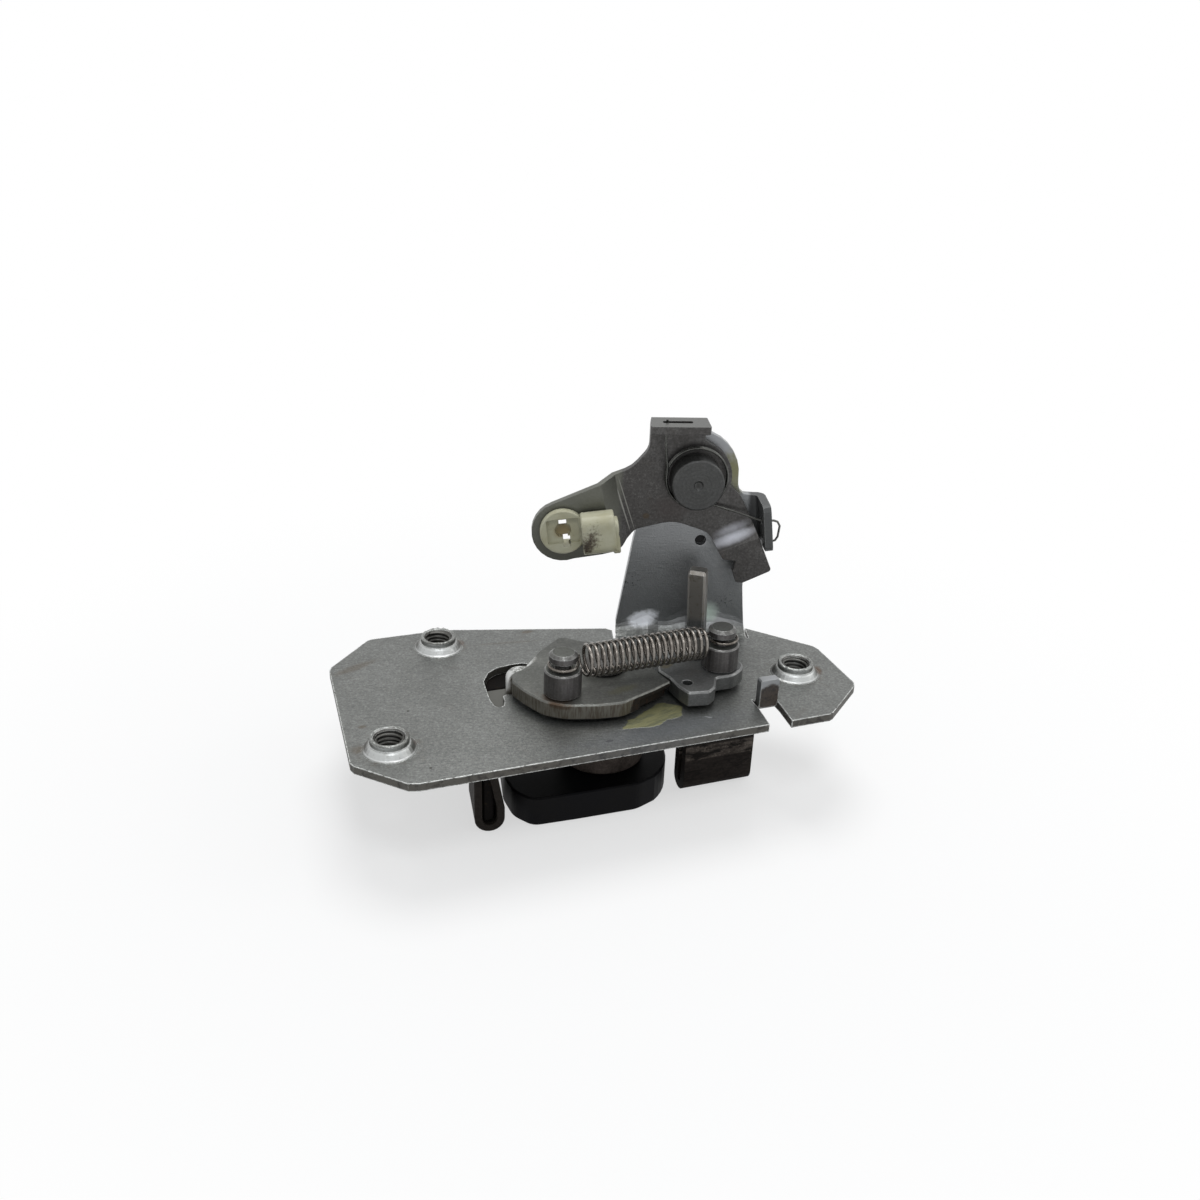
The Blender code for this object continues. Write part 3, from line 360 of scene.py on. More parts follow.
# Marks on the plate, where the photograph has them
PLATE_MARKS = [
    mark((-67.6, 24.6, 34), 10.5, 2.4, STAIN, 0.5, way=(0.91, 0.4, 0), soft=0.7),
    mark((-18.0, 27.4, 34), 14.0, 0.9, STAIN, 0.3, way=(0.99, -0.12, 0), soft=0.6),
    mark((-10.0, 32.9, 34), 2.4, 1.2, STAIN, 0.6, soft=0.4),
    mark((-74.2, -21.0, 34), 3.6, 2.6, STAIN, 0.5, soft=0.7),
    mark((-71.3, -9.8, 34), 1.6, 1.0, STAIN, 0.6, soft=0.5),
    mark((-57.2, -5.0, 34), 0.5, 0.5, SPOT, 0.8, soft=0.3),
    mark((-57.3, -35.4, 34), 0.5, 0.5, SPOT, 0.8, soft=0.3),
    mark((-6.6, -36.7, 34), 1.4, 0.7, (0.03, 0.024, 0.018), 0.7, soft=0.3, grain=0.6),
    mark((-59.6, -22.2, 34.5), 2.4, 1.6, RUST, 0.5, way=(0, 1, 0), soft=0.6),
    mark((-32.8, 31.6, 34.5), 2.8, 1.8, RUST, 0.6, way=(0, 1, 0), soft=0.6),
    mark((70.2, -17.2, 34.3), 3.6, 1.9, RUST, 0.75, way=(0.3, 1, 0), soft=0.6),
    mark((25.4, -32.9, 34), 1.3, 0.22, (0.6, 0.62, 0.62), 0.9, way=(0.8, -0.6, 0), soft=0.2),
    mark((9.0, -36.0, 34), 40.0, 9.0, (0.17, 0.185, 0.21), 0.4, way=(0.98, 0.05, 0), soft=0.9),
    # Painted shade: a darker band down the upright's right part
    mark(up(40.5, 0.0, 24.0), 13.0, 6.5, (0.11, 0.114, 0.118), 0.6, way=(0, 0, 1), soft=0.9),
]


def collar_gap(look):
    """Millimetres from the middle of the nearest collar, seen from above."""
    flat = look.vector("MULTIPLY", look.point, (1.0, 1.0, 0.0))
    return look.least(*(look.vector("DISTANCE", flat, (x, y, 0.0)) for x, y in COLLARS))


def collar_looks(look, colour, top, gap):
    """A painted highlight on each collar's cone, painted shade in its bore, and a ring of dirt round each
    collar.
    """
    # Painted highlight: the cone is bright on its side that faces forward and up, and dark behind
    cone = look.both(look.step(gap, 8.4, 7.7), look.step(top, PLATE_TOP + 0.02, PLATE_TOP + 0.3))
    bright = look.mix(look.blotches(1.6, 0.4, 0.2), (0.55, 0.565, 0.56), (0.26, 0.26, 0.25))
    lit_side = look.step(look.facing(Vector((-0.25, -0.75, 0.6)).normalized()), 0.35, 0.9)
    colour = look.mix(look.both(cone, 0.9), colour, look.mix(lit_side, (0.12, 0.12, 0.11), bright))
    # Painted shade: the bore is darkened
    bore = look.step(gap, 4.75, 4.3)
    colour = look.mix(look.both(bore, 0.9), colour, (0.05, 0.047, 0.042))
    ring = look.both(look.step(gap, 10.5, 8.2), look.step(gap, 7.4, 7.9))
    return look.mix(look.both(ring, look.blotches(2.6, 0.55, 0.2), 0.45), colour, STAIN)


def upright_looks(look, colour, top):
    """Marks on the upright; gives the colour and how dull they are."""
    # Flecks where the plating has failed on its front, and painted shade that makes the dimple near-black
    frontal = look.step(look.facing(UPRIGHT.to_3x3() @ Vector((0, -1, 0))), 0.1, 0.5)
    specks = look.step(look.cloud(look.point, 0.75, 2.0, 0.5), 0.585, 0.63)
    failed = look.most(look.smear(up(7.5, 0.0, 18.5), 6.0, 5.0, soft=0.8),
                       look.smear(up(39.0, 0.0, 11.5), 6.5, 5.0, soft=0.8))
    colour = look.mix(look.both(failed, specks, frontal, 0.85), colour, (0.02, 0.019, 0.017))
    dimple_shade = look.both(look.smear(up(29.2, 0.0, 33.0), 2.3, soft=0.2, wobble=0.04), frontal)
    colour = look.mix(look.both(dimple_shade, 0.95), colour, (0.006, 0.005, 0.005))
    # Painted shade darkens the ear
    ear = look.both(look.step(look.across(), 43.0, 44.6), look.step(top, 66.0, 69.0))
    colour = look.mix(look.both(ear, 0.93), colour, (0.058, 0.06, 0.06))
    # Painted highlights on the two beads in the fold, bright where they catch the light
    left_bead_highlight = look.smear(up(12.0, -1.2, 4.8), 6.6, 4.2, up_way(1.0, 0.3), 0.45, 0.3)
    right_bead_highlight = look.smear(up(33.6, -1.0, 7.2), 5.4, 4.6, up_way(0.2, 1.0), 0.7, 0.15)
    colour = look.mix(left_bead_highlight, colour, (0.92, 0.95, 1.0))
    colour = look.mix(look.both(right_bead_highlight, 0.9), colour, (0.66, 0.78, 0.7))
    # Yellow passivation is left on the round head's right rim
    yellow = look.both(look.smear(up(38.5, 0.0, 56.5), 10.5, 5.0, up_way(-0.25, 1.0), 0.5), 0.85)
    colour = look.mix(yellow, colour, (0.16, 0.155, 0.07))
    bead_highlights = look.both(look.most(left_bead_highlight, right_bead_highlight), 0.85)
    return colour, look.most(dimple_shade, look.both(ear, 0.5), bead_highlights)


def plate_details(look, colour, dull, height):
    top = look.height()
    gap = collar_gap(look)
    # Painted light: the upright and the tab get a lighter tone than the plate, to lift their dimly lit faces
    high = look.both(look.step(top, PLATE_TOP + 0.8, PLATE_TOP + 5.5), look.step(gap, 7.7, 8.4))
    shade = look.mix(look.blotches(16.0, 0.5, 0.3), (0.30, 0.31, 0.32), (0.21, 0.218, 0.223))
    colour = look.mix(look.both(high, 0.94), colour, shade)
    # Sheared side faces are brown and dark
    level = look.math("ABSOLUTE", look.facing((0, 0, 1)))
    side = look.both(look.step(level, 0.6, 0.25), look.step(top, PLATE_TOP + 0.3, PLATE_TOP - 0.1))
    sheared = look.mix(look.blotches(2.5, 0.6, 0.2), (0.075, 0.07, 0.06), (0.02, 0.017, 0.014))
    colour = look.mix(look.both(side, 0.9), colour, sheared)
    # The tab's front is rusty up to a bright top
    tab = look.both(look.smear((45.9, -31.7, 36.6), 4.6, 4.6, (0, 0, 1), 0.2, 0.25),
                    look.step(look.facing((0, -1, 0)), 0.3, 0.6))
    pitted = look.mix(look.blotches(1.2, 0.55, 0.2), (0.045, 0.032, 0.024), (0.008, 0.006, 0.005))
    colour = look.mix(look.both(tab, 0.95), colour, pitted)
    # The plate's top edge is chipped; the near-white chips are partly a painted edge highlight
    chipped = look.both(look.place(edge_tree, Width=0.75, Chip=1.1, Cover=0.62),
                        look.step(top, PLATE_TOP + 0.6, PLATE_TOP + 0.2))
    crumbs = look.step(look.cloud(look.point, 0.7, 3.0, 0.7), 0.42, 0.56)
    chips = look.mix(crumbs, (0.05, 0.05, 0.045), (0.95, 0.97, 0.95))
    colour = look.mix(look.both(chipped, 0.95), colour, chips)
    colour = collar_looks(look, colour, top, gap)
    colour = look.marks(colour, PLATE_MARKS)
    colour, upright_dull = upright_looks(look, colour, top)
    # Grease is wiped towards the front
    grease = look.both(look.patch(GREASED), look.step(top, PLATE_TOP + 1.0, PLATE_TOP + 0.5))
    streak = look.place(grain_tree, Size=0.7, Length=7.0, Turn=-0.3)
    oily = look.mix(look.step(streak, 0.4, 0.62), GREASE, THIN_GREASE)
    colour = look.mix(look.both(grease, 0.85), colour, oily)
    dull = look.most(dull, upright_dull, tab, look.both(grease, 0.6), look.both(side, 0.5))
    return colour, dull, look.math("ADD", height, look.both(grease, streak, 1.6))


def low_wear(look):
    """Wear is full on the flat plate and faint on the upright."""
    low = look.step(look.height(), PLATE_TOP + 6.0, PLATE_TOP + 3.5)
    return look.math("ADD", 0.25, look.both(low, 0.75))


CAM_TOP = 40.3
CAM_MARKS = [
    # Painted shadow of the tension spring along the cam's top
    mark((0.0, -12.0, CAM_TOP), 15.0, 3.6, (0.055, 0.057, 0.05), 0.55, way=(1, 0.05, 0), soft=0.6),
    mark((-17.0, -20.4, CAM_TOP), 5.6, 4.4, RUST, 0.6, way=(0.7, -0.7, 0), soft=0.5, wobble=0.5),
    mark((-18.5, -23.6, 39.6), 6.0, 1.5, RUST, 0.5, way=(0.9, -0.4, 0), soft=0.6, wobble=0.6),
    mark((3.0, -21.0, CAM_TOP), 7.0, 2.4, (0.13, 0.125, 0.07), 0.5, way=(0.95, 0.2, 0), soft=0.7,
         wobble=0.5),
    mark((18.8, -13.0, CAM_TOP), 4.0, 1.8, DRY_GREASE, 0.6, way=(0.6, -0.8, 0), soft=0.5, wobble=0.5),
]


def cam_flank(look):
    return look.smear((11.0, -22.4, 36.6), 9.4, 7.0, (0.91, 0.42, 0.0), 0.12, 0.2)


def off_flank(look):
    """The cam's rusty flank has no bare edges."""
    return look.math("SUBTRACT", 1.0, cam_flank(look))


def cam_details(look, colour, dull, height):
    rim = look.step(look.math("ABSOLUTE", look.facing((0, 0, 1))), 0.6, 0.2)
    lined = look.step(look.streaks(0.5, 0.12), 0.4, 0.65)
    shade = look.mix(lined, (0.20, 0.19, 0.165), (0.115, 0.098, 0.075))
    colour = look.mix(look.both(rim, 0.9), colour, shade)
    flank = look.both(cam_flank(look), rim)
    rust = look.mix(look.blotches(1.8, 0.5, 0.2), (0.008, 0.006, 0.005), (0.035, 0.018, 0.01))
    colour = look.mix(look.both(flank, 0.93), colour, rust)
    colour = look.marks(colour, CAM_MARKS)
    # The edge beside the plate's slot is beaten bright, and so is the finger below it
    beaten = look.smear((-20.8, 1.8, 39.6), 7.0, 2.6, (-0.83, -0.56, 0.0), 0.3, 0.15)
    pits = look.cloud(look.point, 0.9, 3.0, 0.7)
    hammered = look.mix(look.step(pits, 0.4, 0.6), (0.7, 0.71, 0.69), (0.2, 0.2, 0.185))
    colour = look.mix(look.both(beaten, 0.85), colour, hammered)
    finger = look.smear((-27.0, -0.4, 37.0), 4.6, 3.6, (0, 0, 1), 0.3, 0.15)
    colour = look.mix(look.both(finger, 0.9), colour, (0.75, 0.75, 0.74))
    dull = look.most(dull, flank, look.both(look.most(finger, beaten), 0.7))
    return colour, dull, look.math("ADD", height, look.both(beaten, pits, 5.0))


def pawl_details(look, colour, dull, height):
    lug = look.step(look.height(), PLATE_TOP + 9.0, PLATE_TOP + 12.0)
    shade = look.mix(look.blotches(3.0, 0.5, 0.25), (0.26, 0.245, 0.225), (0.12, 0.095, 0.07))
    colour = look.mix(look.both(lug, 0.9), colour, shade)
    colour = look.marks(colour, [
        mark((21.0, -10.5, CAM_TOP), 3.6, 2.2, DRY_GREASE, 0.6, way=(0.7, 0.7, 0), soft=0.5, wobble=0.6),
        mark((25.0, -3.5, CAM_TOP), 2.6, 0.8, (0.5, 0.51, 0.5), 0.8, soft=0.4, wobble=0.8, grain=0.8)])
    return colour, dull, height


LEVER_FACE = -5.4
LEVER_FLANGE = PLATE_TOP + AXLE_Z + 14.4
LEVER_BEND = dict(way=up_way(0.32, -0.95), soft=0.3, wobble=0.1)
LEVER_MARKS = [
    # Painted highlights: two thin light lines along the lever's bend
    mark(up(3.2, LEVER_FACE, 46.0), 10.4, 0.26, (0.3, 0.3, 0.28), 0.8, **LEVER_BEND),
    mark(up(4.6, LEVER_FACE, 46.4), 10.4, 0.2, (0.27, 0.27, 0.25), 0.7, **LEVER_BEND),
    mark(up(18.0, LEVER_FACE, 45.0), 9.0, 6.0, (0.055, 0.046, 0.044), 0.5, soft=0.8),
    mark(up(10.9, LEVER_FACE, 42.4), 1.5, 1.2, (0.07, 0.05, 0.028), 0.6, soft=0.5, wobble=0.5, grain=0.7),
]


def lever_details(look, colour, dull, height):
    arm = look.step(look.across(), 3.8, 1.6)
    colour = look.mix(look.both(arm, 0.75), colour, (0.138, 0.142, 0.119))
    # Painted light: the top flange's upward face is lighter
    flange = look.both(look.step(look.height(), LEVER_FLANGE, LEVER_FLANGE + 0.8),
                       look.step(look.facing((0, 0, 1)), 0.3, 0.8))
    colour = look.mix(look.both(flange, 0.8), colour, (0.12, 0.122, 0.116))
    colour = look.marks(colour, LEVER_MARKS)
    # Painted highlight on the tongue's bend, where it faces up into the light
    bend_highlight = look.smear(up(38.4, -8.6, 38.2), 13.0, 4.0, up_way(0.91, 0.42), 0.5, 0.05)
    colour = look.mix(look.both(bend_highlight, 0.95), colour, (0.85, 0.87, 0.95))
    return colour, look.most(dull, look.both(bend_highlight, 0.85)), height


def rivet_details(look, colour, dull, height):
    middle = up(AXLE_S, -13.2, AXLE_Z)
    rings = look.math("SINE", look.both(look.vector("DISTANCE", look.point, middle), 5.2))
    colour = look.mix(look.step(rings, 0.5, 1.0), colour, look.mix(0.2, colour, (0.03, 0.031, 0.032)))
    colour = look.marks(colour, [mark(middle, 1.3, 1.3, (0.025, 0.024, 0.022), 0.6, soft=0.6)])
    return colour, dull, look.math("ADD", height, look.both(rings, 0.2))


def post_details(look, colour, dull, height):
    # Painted light: the post's upward faces are lighter
    top = look.step(look.facing((0, 0, 1)), 0.6, 0.9)
    colour = look.mix(look.both(top, 0.8), colour, (0.15, 0.158, 0.147))
    drawn = look.step(look.streaks(0.6, 0.08), 0.45, 0.7)
    return look.mix(look.both(drawn, 0.45), colour, (0.05, 0.044, 0.042)), dull, height


def block_details(look, colour, dull, height):
    z = look.height()
    flattened = look.vector("MULTIPLY", look.point, (0.3, 0.3, 1.0))
    patches = look.blotches(2.4, 0.62, 0.14, Point=flattened)
    colour = look.mix(look.both(patches, 0.95), colour, (0.004, 0.0035, 0.003))
    groove = look.both(look.step(z, 16.1, 16.8), look.step(z, 17.9, 17.2))
    colour = look.mix(look.both(groove, 0.8), colour, (0.007, 0.006, 0.0055))
    # Darker towards the bottom, below about 12 mm
    low = look.step(z, 11.9, 11.3)
    low_mottle = look.step(look.cloud(flattened, 0.6), 0.4, 0.6)
    low_tone = look.mix(low_mottle, (0.014, 0.0105, 0.0095), (0.006, 0.005, 0.0045))
    colour = look.mix(look.both(low, 0.85), colour, low_tone)
    ends = look.step(look.math("ABSOLUTE", look.facing((1, 0, 0))), 0.5, 0.8)
    colour = look.mix(look.both(ends, 0.8), colour, (0.006, 0.005, 0.0048))
    return colour, look.most(dull, 0.8), height


def hook_details(look, colour, dull, height):
    flange = look.step(look.height(), PLATE_TOP - 4.4, PLATE_TOP - 3.4)
    return look.mix(look.both(flange, 0.9), colour, (0.15, 0.15, 0.137)), dull, height


zinc = steel("zinc_sheet", (0.182, 0.188, 0.180), (0.152, 0.157, 0.150), stained=0.2, bare=(0.8, 0.82, 0.8),
             worn=0.95, cover=0.58, rough=0.36, lines=0.5, depth=0.2, speckle=0.95, kept=low_wear,
             details=plate_details)
cam_steel = steel("cam_steel", (0.155, 0.157, 0.146), (0.105, 0.108, 0.1), stained=0.4,
                  bare=(0.36, 0.36, 0.34), worn=0.7, gloss=0.15, kept=off_flank, details=cam_details,
                  rough=0.42)
pawl_steel = steel("pawl_steel", (0.19, 0.195, 0.192), (0.14, 0.143, 0.142), stained=0.2,
                   bare=(0.5, 0.51, 0.51), worn=0.8, cover=0.62, details=pawl_details)
lever_steel = steel("lever_steel", (0.094, 0.092, 0.090), (0.07, 0.067, 0.065), bare=(0.2, 0.2, 0.2),
                    lines=0.15, speckle=0.85, details=lever_details, rough=0.4)
rivet_steel = steel("rivet_steel", (0.074, 0.075, 0.074), (0.06, 0.061, 0.06), stained=0.1,
                    bare=(0.12, 0.12, 0.12), lines=0.1, details=rivet_details, rough=0.42)
post_steel = steel("post_steel", (0.135, 0.13, 0.13), (0.095, 0.09, 0.088), stained=0.3,
                   bare=(0.55, 0.56, 0.56), worn=0.8, cover=0.65, details=post_details, rough=0.34)
claw_steel = steel("claw_steel", (0.05, 0.05, 0.05), (0.03, 0.03, 0.03), stained=0.4, bare=(0.2, 0.2, 0.19))
bare_steel = steel("bare_steel", (0.14, 0.138, 0.13), (0.08, 0.075, 0.07), stained=0.35, rough=0.34)
hook_steel = steel("hook_steel", (0.024, 0.020, 0.017), (0.011, 0.009, 0.008), brown=(0.011, 0.008, 0.006),
                   stained=0.7, bare=(0.09, 0.08, 0.07), worn=0.35, rough=0.62, metallic=0.2, gloss=0.1,
                   details=hook_details)
block_steel = steel("block_steel", (0.12, 0.104, 0.09), (0.06, 0.05, 0.043), brown=(0.02, 0.013, 0.01),
                    stained=0.5, speckle=0.9, bare=(0.09, 0.08, 0.07), worn=0.3, rough=0.66, metallic=0.1,
                    gloss=0.08, details=block_details)
boss_steel = steel("boss_steel", (0.095, 0.078, 0.068), (0.03, 0.024, 0.021), brown=(0.016, 0.011, 0.009),
                   stained=0.95, bare=(0.08, 0.07, 0.06), worn=0.3, rough=0.7, metallic=0.1, gloss=0.1,
                   depth=0.15)
spring_steel = steel("spring_steel", (0.25, 0.232, 0.212), (0.15, 0.135, 0.12), brown=(0.06, 0.036, 0.024),
                     stained=0.45, worn=0.0, rough=0.25, metallic=0.95, lines=0.0)
thin_wire = steel("thin_wire", (0.12, 0.122, 0.115), (0.07, 0.07, 0.066), stained=0.2, worn=0.0, rough=0.28,
                  metallic=0.9, lines=0.0)
burr_steel = steel("burr_steel", (0.30, 0.31, 0.30), (0.14, 0.14, 0.13), stained=0.3, bare=(0.6, 0.6, 0.6),
                   rough=0.34, lines=0.0, depth=0.12)
thread_steel = steel("thread_steel", (0.12, 0.12, 0.112), (0.06, 0.058, 0.052), stained=0.4,
                     bare=(0.4, 0.4, 0.39), worn=0.8, cover=0.7, rough=0.36, lines=0.0)


def moulding(name, colour, dark, rough, dirt=0.0, marks=(), gloss=0.5, edge=None):
    """Moulded plastic with a fine skin, and dirt where it has gathered."""
    look = Finish(name)
    fine = look.cloud(look.point, 0.7, 4.0, 0.6)
    wide = look.cloud(look.point, 7.0, 4.0, 0.6)
    shade = look.mix(look.step(wide, 0.35, 0.7), colour, dark)
    # Where an edge colour is given, it is a painted highlight along the edges
    if edge:
        shade = look.mix(look.place(edge_tree, Width=0.35, Chip=3.0, Cover=0.6), shade, edge)
    shade = look.mix(look.both(look.blotches(1.8, 0.35, 0.2), dirt), shade, (0.11, 0.07, 0.035))
    shade = look.marks(shade, marks)
    look.shader.inputs["Specular IOR Level"].default_value = gloss
    roughness = look.math("ADD", look.both(wide, 0.2), rough - 0.1)
    return look.done(shade, 0.0, roughness, fine, 0.04, 0.35)


CLAW_MARKS = [mark((-2.4, -27.1, 6.6), 1.9, 0.16, (0.04, 0.04, 0.04), 0.8, soft=0.3, wobble=0.2)]
CLIP_MARKS = [
    mark(up(-7.4, -17.8, 38.4), 6.4, 3.4, (0.045, 0.028, 0.014), 0.9, way=up_way(0.3, 1.0), soft=0.9,
         wobble=1.1, grain=0.8),
    mark(up(-8.6, -17.6, 37.0), 3.4, 2.2, (0.02, 0.012, 0.007), 0.8, way=up_way(0.2, 1.0), soft=0.9,
         wobble=1.3, grain=0.6),
    mark(up(-15.6, -9.1, 39.0), 3.6, 3.0, (0.26, 0.19, 0.08), 0.75, soft=0.6, wobble=0.4),
]
# The black moulding's edge colour is a painted edge highlight
black = moulding("black_moulding", (0.0032, 0.0032, 0.0042), (0.0046, 0.0044, 0.0046), 0.5, gloss=0.08,
                 edge=(0.022, 0.022, 0.024), marks=CLAW_MARKS)
cream = moulding("cream_moulding", (0.47, 0.465, 0.35), (0.40, 0.385, 0.26), 0.45, 0.3, gloss=0.35,
                 marks=CLIP_MARKS)
# Near-black finish for the pads that stand in for shade
shade_black = moulding("shade_pad_black", (0.005, 0.0045, 0.0042), (0.008, 0.0065, 0.006), 0.7, 0.2, gloss=0.05)

FINISHES = {
    "base_plate": zinc, "left_guide_hook": hook_steel, "right_guide_block": block_steel,
    "bearing_boss": boss_steel, "claw_cover": black, "claw_core": claw_steel, "rotor_shaft": bare_steel,
    "rotor_washer": bare_steel, "cam_plate": cam_steel, "left_spring_post": post_steel,
    "right_spring_post": post_steel, "pawl": pawl_steel, "pawl_rivet": bare_steel, "pawl_washer": bare_steel,
    "tension_spring": spring_steel, "release_lever": lever_steel, "lever_rivet": rivet_steel,
    "torsion_spring": spring_steel, "rod_clip": cream,
}
for name, material in FINISHES.items():
    mesh = bpy.data.objects[name].data
    mesh.materials.clear()
    mesh.materials.append(material)


# New pieces
def piece(name, mesh, material):
    """An object of a finished mesh given in metres, smooth shaded."""
    mesh.materials.clear()
    mesh.materials.append(material)
    for face in mesh.polygons:
        face.use_smooth = True
    obj = bpy.data.objects.new(name, mesh)
    scene.collection.objects.link(obj)
    return obj


def mesh_of(bm, name):
    """A mesh in metres from one drawn in millimetres."""
    bmesh.ops.scale(bm, vec=(MM, MM, MM), verts=bm.verts)
    mesh = bpy.data.meshes.new(name)
    bm.to_mesh(mesh)
    bm.free()
    return mesh


def wire(name, points, radius):
    """A round wire along points, capped at both ends."""
    curve = bpy.data.curves.new(name, "CURVE")
    curve.dimensions = "3D"
    curve.bevel_depth = radius * MM
    curve.bevel_resolution = 3
    curve.use_fill_caps = True
    spline = curve.splines.new("POLY")
    spline.points.add(len(points) - 1)
    for point, place in zip(spline.points, points):
        point.co = (*(c * MM for c in place), 1.0)
    holder = bpy.data.objects.new(name + "_line", curve)
    scene.collection.objects.link(holder)
    bpy.context.view_layer.update()
    mesh = bpy.data.meshes.new_from_object(holder.evaluated_get(bpy.context.evaluated_depsgraph_get()))
    bpy.data.objects.remove(holder)
    bpy.data.curves.remove(curve)
    mesh.name = name
    return mesh


# Tension spring: an eye round each post's neck and twenty turns between them
SPRING_WIRE_R = 0.5
EYE_R = 4.12
EYE_SWEEP = 285
EYE_STEPS = 36
COIL_R = 4.62
COIL_TURNS = 20
COIL_STEPS = 28
COIL_CLEAR = 6.15
left_end = Vector((*LEFT_POST, HOOK_Z))
right_end = Vector((*RIGHT_POST, HOOK_Z))
right_eye = right_end + Vector((0.84, 0.54, 0))
run = (right_end - left_end).normalized()
side = Vector((-run.y, run.x, 0))
span = (right_end - left_end).length


def eye(middle, start):
    """Points clockwise round a post, from an angle in degrees."""
    for k in range(EYE_STEPS + 1):
        a = math.radians(start - EYE_SWEEP * k / EYE_STEPS)
        yield middle + run * EYE_R * math.cos(a) + side * EYE_R * math.sin(a)


line = list(eye(left_end, 360))
steps = COIL_TURNS * COIL_STEPS
for k in range(steps + 1):
    a = 2 * math.pi * k / COIL_STEPS
    turns_in = min(k, steps - k) / COIL_STEPS
    r = COIL_R * min(1.0, 0.82 + 0.3 * turns_in)
    far = COIL_CLEAR + (span - 2 * COIL_CLEAR) * k / steps
    line.append(left_end + run * far + side * r * math.cos(a) - Vector((0, 0, 1)) * r * math.sin(a))
line += eye(right_eye, 105)
tension_mesh = wire("tension_spring_wire", line, SPRING_WIRE_R)
tension = piece("tension_spring_wire", tension_mesh, spring_steel)
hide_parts("tension_spring")
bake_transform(tension)

# Torsion spring: its foot hooked round the ear, its coil round the rivet, its leg behind the top flange.
# Its points are along the upright, off its face and above the axle.
THIN_WIRE_R = 0.36
TORSION_R = 9.55
TORSION_STEPS = 132
foot = [(25.4, -8.6, -19.9), (26.4, -8.6, -19.6), (27.1, -8.6, -18.3), (27.4, -8.6, -14.7),
        (26.6, -8.6, -13.3), (25.4, -8.6, -12.9), (22.1, -8.6, -12.9), (19.9, -8.3, -12.6),
        (12.5, -7.1, -10.3), (6.0, -6.3, -8.6)]
coil = []
for k in range(TORSION_STEPS + 1):
    a = math.radians(-74.0 - 824.0 * k / TORSION_STEPS)
    off = -6.2 - 2.4 * k / TORSION_STEPS
    coil.append((0.2 + TORSION_R * math.cos(a), off, 0.75 + TORSION_R * math.sin(a)))
leg = [(-9.3, -8.9, 4.7), (-10.2, -9.6, 10.7), (-10.5, -10.9, 15.2), (-10.5, -10.9, 18.7),
       (-10.5, -10.9, 20.3)]
line = [up(AXLE_S + s, off, AXLE_Z + z) for s, off, z in foot + coil + leg]
torsion_mesh = wire("torsion_spring_wire", line, THIN_WIRE_R)
torsion = piece("torsion_spring_wire", torsion_mesh, thin_wire)
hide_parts("torsion_spring")
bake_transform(torsion)

# Collars: a thread in each bore, and the torn rim that drawing left; profiles are radius and height
PITCH = 1.25
THREAD_TURNS = 4.0
THREAD_TOP_GAP = 0.55
THREAD_PROFILE = ((4.08, -0.5), (3.42, -0.09), (3.42, 0.09), (4.08, 0.5))
STEPS_A_TURN = 40
RIM_PROFILE = ((4.55, -0.25), (4.6, 0.05), (4.85, 0.2), (5.2, 0.17), (5.5, -0.1), (5.46, -0.5))
RIM_STEPS = 110
AXIS = dict(cent=(0, 0, 0), axis=(0, 0, 1))
for k, (x, y) in enumerate(COLLARS):
    bm = bmesh.new()
    bm.faces.new([bm.verts.new((r, 0, z)) for r, z in THREAD_PROFILE])
    around = int(THREAD_TURNS * STEPS_A_TURN)
    rise = THREAD_TURNS * PITCH / around
    bmesh.ops.spin(bm, geom=bm.faces[:] + bm.verts[:] + bm.edges[:], **AXIS, dvec=(0, 0, rise),
                   angle=THREAD_TURNS * 2 * math.pi, steps=around)
    bmesh.ops.recalc_face_normals(bm, faces=bm.faces)
    bmesh.ops.rotate(bm, verts=bm.verts, cent=(0, 0, 0), matrix=Matrix.Rotation(2.1 * k, 3, "Z"))
    bmesh.ops.translate(bm, verts=bm.verts, vec=(x, y, COLLAR_TOP - THREAD_TURNS * PITCH - THREAD_TOP_GAP))
    thread = piece(f"collar_thread_{k + 1}", mesh_of(bm, f"collar_thread_{k + 1}"), thread_steel)
    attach(thread, "root")

    bm = bmesh.new()
    rim = [bm.verts.new((r, 0, z)) for r, z in RIM_PROFILE]
    edges = [bm.edges.new(pair) for pair in zip(rim, rim[1:] + rim[:1])]
    bmesh.ops.spin(bm, geom=rim + edges, **AXIS, angle=2 * math.pi, steps=RIM_STEPS, use_merge=True)
    bmesh.ops.recalc_face_normals(bm, faces=bm.faces)
    for vert in bm.verts:
        coarse = noise.noise(vert.co * 1.3 + Vector((7.0 * k, 3.0, 0)))
        torn = coarse + 0.6 * noise.noise(vert.co * 3.4 + Vector((0, 5.0 * k, 0)))
        share = min(1.0, max(0.0, (vert.co.z + 0.2) / 0.3))
        vert.co.z += 0.26 * torn * share
        vert.co.xy *= 1.0 + 0.016 * torn * share
    bmesh.ops.translate(bm, verts=bm.verts, vec=(x, y, COLLAR_TOP))
    torn_rim = piece(f"collar_rim_{k + 1}", mesh_of(bm, f"collar_rim_{k + 1}"), burr_steel)
    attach(torn_rim, "root")


# Black pads as painted shade: one darkens what shows through the plate's slot, and one darkens the left
# guide's inside
def shade_pad(name, low, high, round_by):
    bm = bmesh.new()
    bmesh.ops.create_cube(bm, size=1.0)
    bmesh.ops.scale(bm, vec=[b - a for a, b in zip(low, high)], verts=bm.verts)
    bmesh.ops.translate(bm, vec=[(a + b) / 2 for a, b in zip(low, high)], verts=bm.verts)
    bmesh.ops.bevel(bm, geom=bm.edges[:], offset=round_by, segments=4, profile=0.5, affect="EDGES",
                    material=-1)
    pad = piece(name, mesh_of(bm, name), shade_black)
    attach(pad, "root")


under = PLATE_TOP - PLATE_SHEET
shade_pad("slot_shade_pad", (-34.0, 4.2, under - 2.6), (-13.6, 24.0, under), 0.7)
shade_pad("guide_shade_pad", (-39.5, -22.4, 3.2), (-36.2, -9.4, under), 0.8)

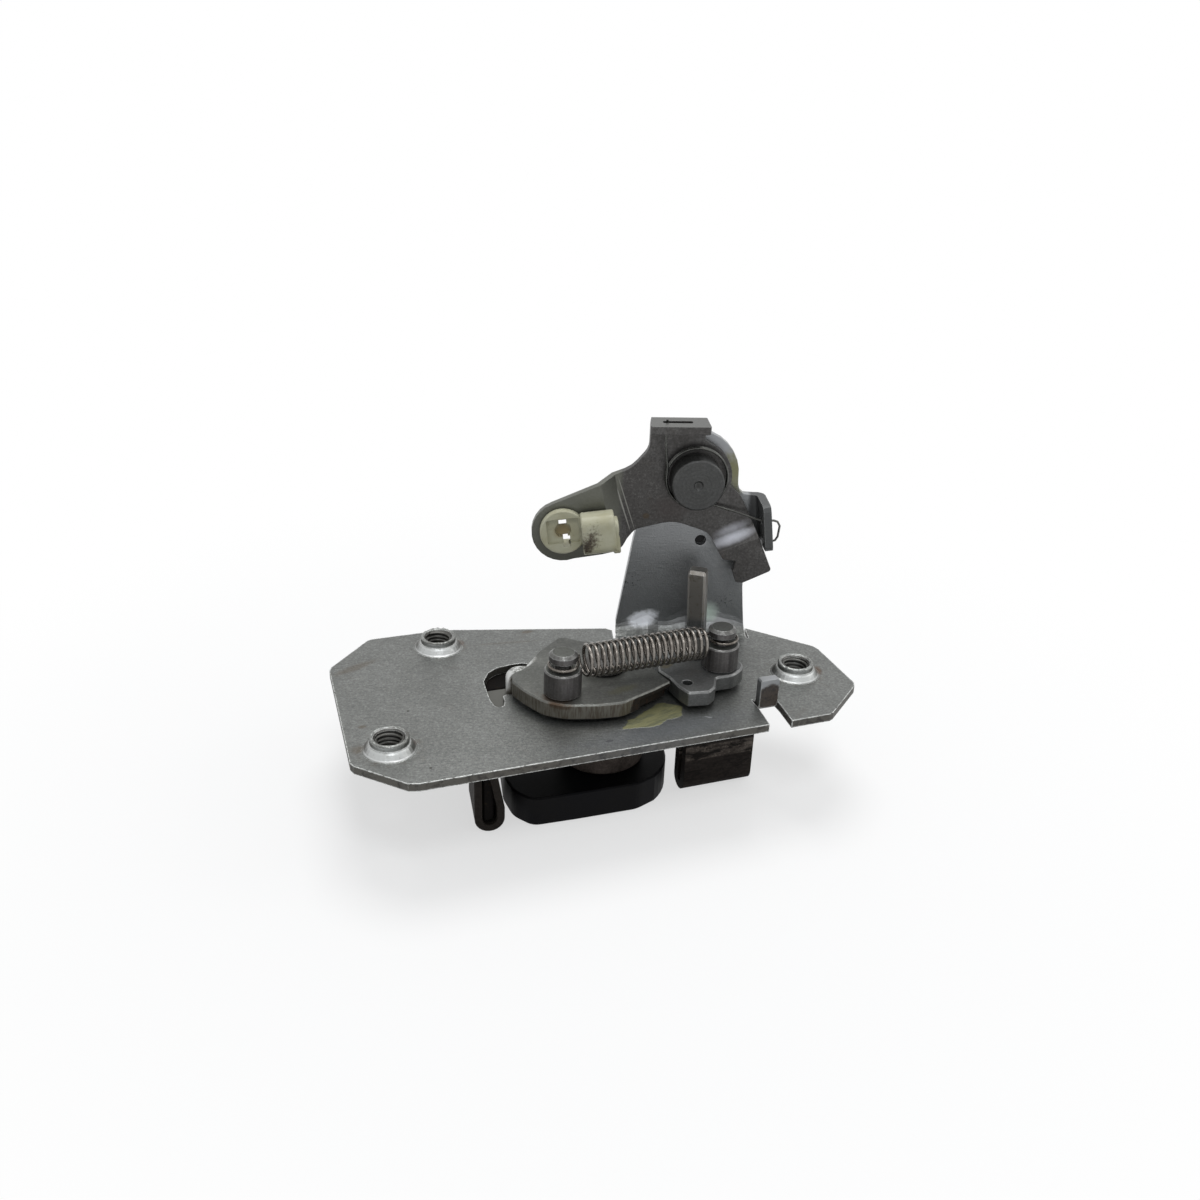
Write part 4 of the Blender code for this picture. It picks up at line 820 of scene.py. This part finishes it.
# Light: a white surround for what is seen, a soft grey one for what lights the lock, and three lamps
scene.view_settings.view_transform = "Standard"
world = bpy.data.worlds.new("studio")
scene.world = world
world.use_nodes = True
world.node_tree.nodes.clear()
net = Net(world.node_tree)
backdrop = net.new("ShaderNodeBackground")
soft = net.new("ShaderNodeBackground")
net.put((0.97, 0.985, 1.0), soft.inputs["Color"])
net.put((1.0, 1.0, 1.0), backdrop.inputs["Color"])
soft.inputs["Strength"].default_value = 0.45
chosen = net.new("ShaderNodeMixShader")
net.put(net.seen(), chosen.inputs[0])
net.put(soft.outputs[0], chosen.inputs[1])
net.put(backdrop.outputs[0], chosen.inputs[2])
net.put(chosen.outputs[0], net.new("ShaderNodeOutputWorld").inputs["Surface"])

# Each lamp's place and width in metres, its power in watts and its colour
LAMPS = {
    "top_lamp": ((0.06, 0.24, 0.84), 0.50, 3.4, (1.0, 1.0, 1.0)),
    "front_lamp": ((-0.10, -0.42, 0.76), 0.24, 1.3, (0.96, 0.98, 1.0)),
    "side_lamp": ((0.62, -0.16, 0.42), 0.36, 0.6, (1.0, 0.99, 0.97)),
}
LIT_POINT = Vector((0, 0, 0.04))
for name, (where, size, power, colour) in LAMPS.items():
    data = bpy.data.lights.new(name, "AREA")
    data.shape = "DISK"
    data.size = size
    data.energy = power
    data.color = colour
    lamp = bpy.data.objects.new(name, data)
    scene.collection.objects.link(lamp)
    lamp.location = where
    lamp.rotation_euler = (LIT_POINT - Vector(where)).to_track_quat("-Z", "Y").to_euler()

# Floor: pale and shaded near the lock, and white further out for what the camera and the metal see
FLOOR_HALF = 6.0
FLOOR_Z = -0.0002
NEAR_WHITE = 0.6
WHITE_FROM, WHITE_AT = 0.07, 0.26
bm = bmesh.new()
bmesh.ops.create_grid(bm, x_segments=4, y_segments=4, size=FLOOR_HALF)
bmesh.ops.translate(bm, verts=bm.verts, vec=(0, 0, FLOOR_Z))
floor_mesh = bpy.data.meshes.new("floor")
bm.to_mesh(floor_mesh)
bm.free()
floor = bpy.data.objects.new("floor", floor_mesh)
scene.collection.objects.link(floor)
pale = bpy.data.materials.new("pale_floor")
pale.use_nodes = True
net = Net(pale.node_tree)
matt = net.tree.nodes["Principled BSDF"]
matt.inputs["Base Color"].default_value = (0.92, 0.92, 0.92, 1)
matt.inputs["Roughness"].default_value = 0.95
matt.inputs["Specular IOR Level"].default_value = 0.0
white = net.new("ShaderNodeEmission")
far = net.vector("DISTANCE", net.new("ShaderNodeTexCoord").outputs["Object"], HERE)
whiter = net.both(net.step(far, WHITE_FROM, WHITE_AT), 1.0 - NEAR_WHITE)
chosen = net.new("ShaderNodeMixShader")
net.put(net.both(net.seen(), net.math("ADD", NEAR_WHITE, whiter)), chosen.inputs[0])
net.put(matt.outputs[0], chosen.inputs[1])
net.put(white.outputs[0], chosen.inputs[2])
net.put(chosen.outputs[0], net.tree.nodes["Material Output"].inputs["Surface"])
floor_mesh.materials.append(pale)
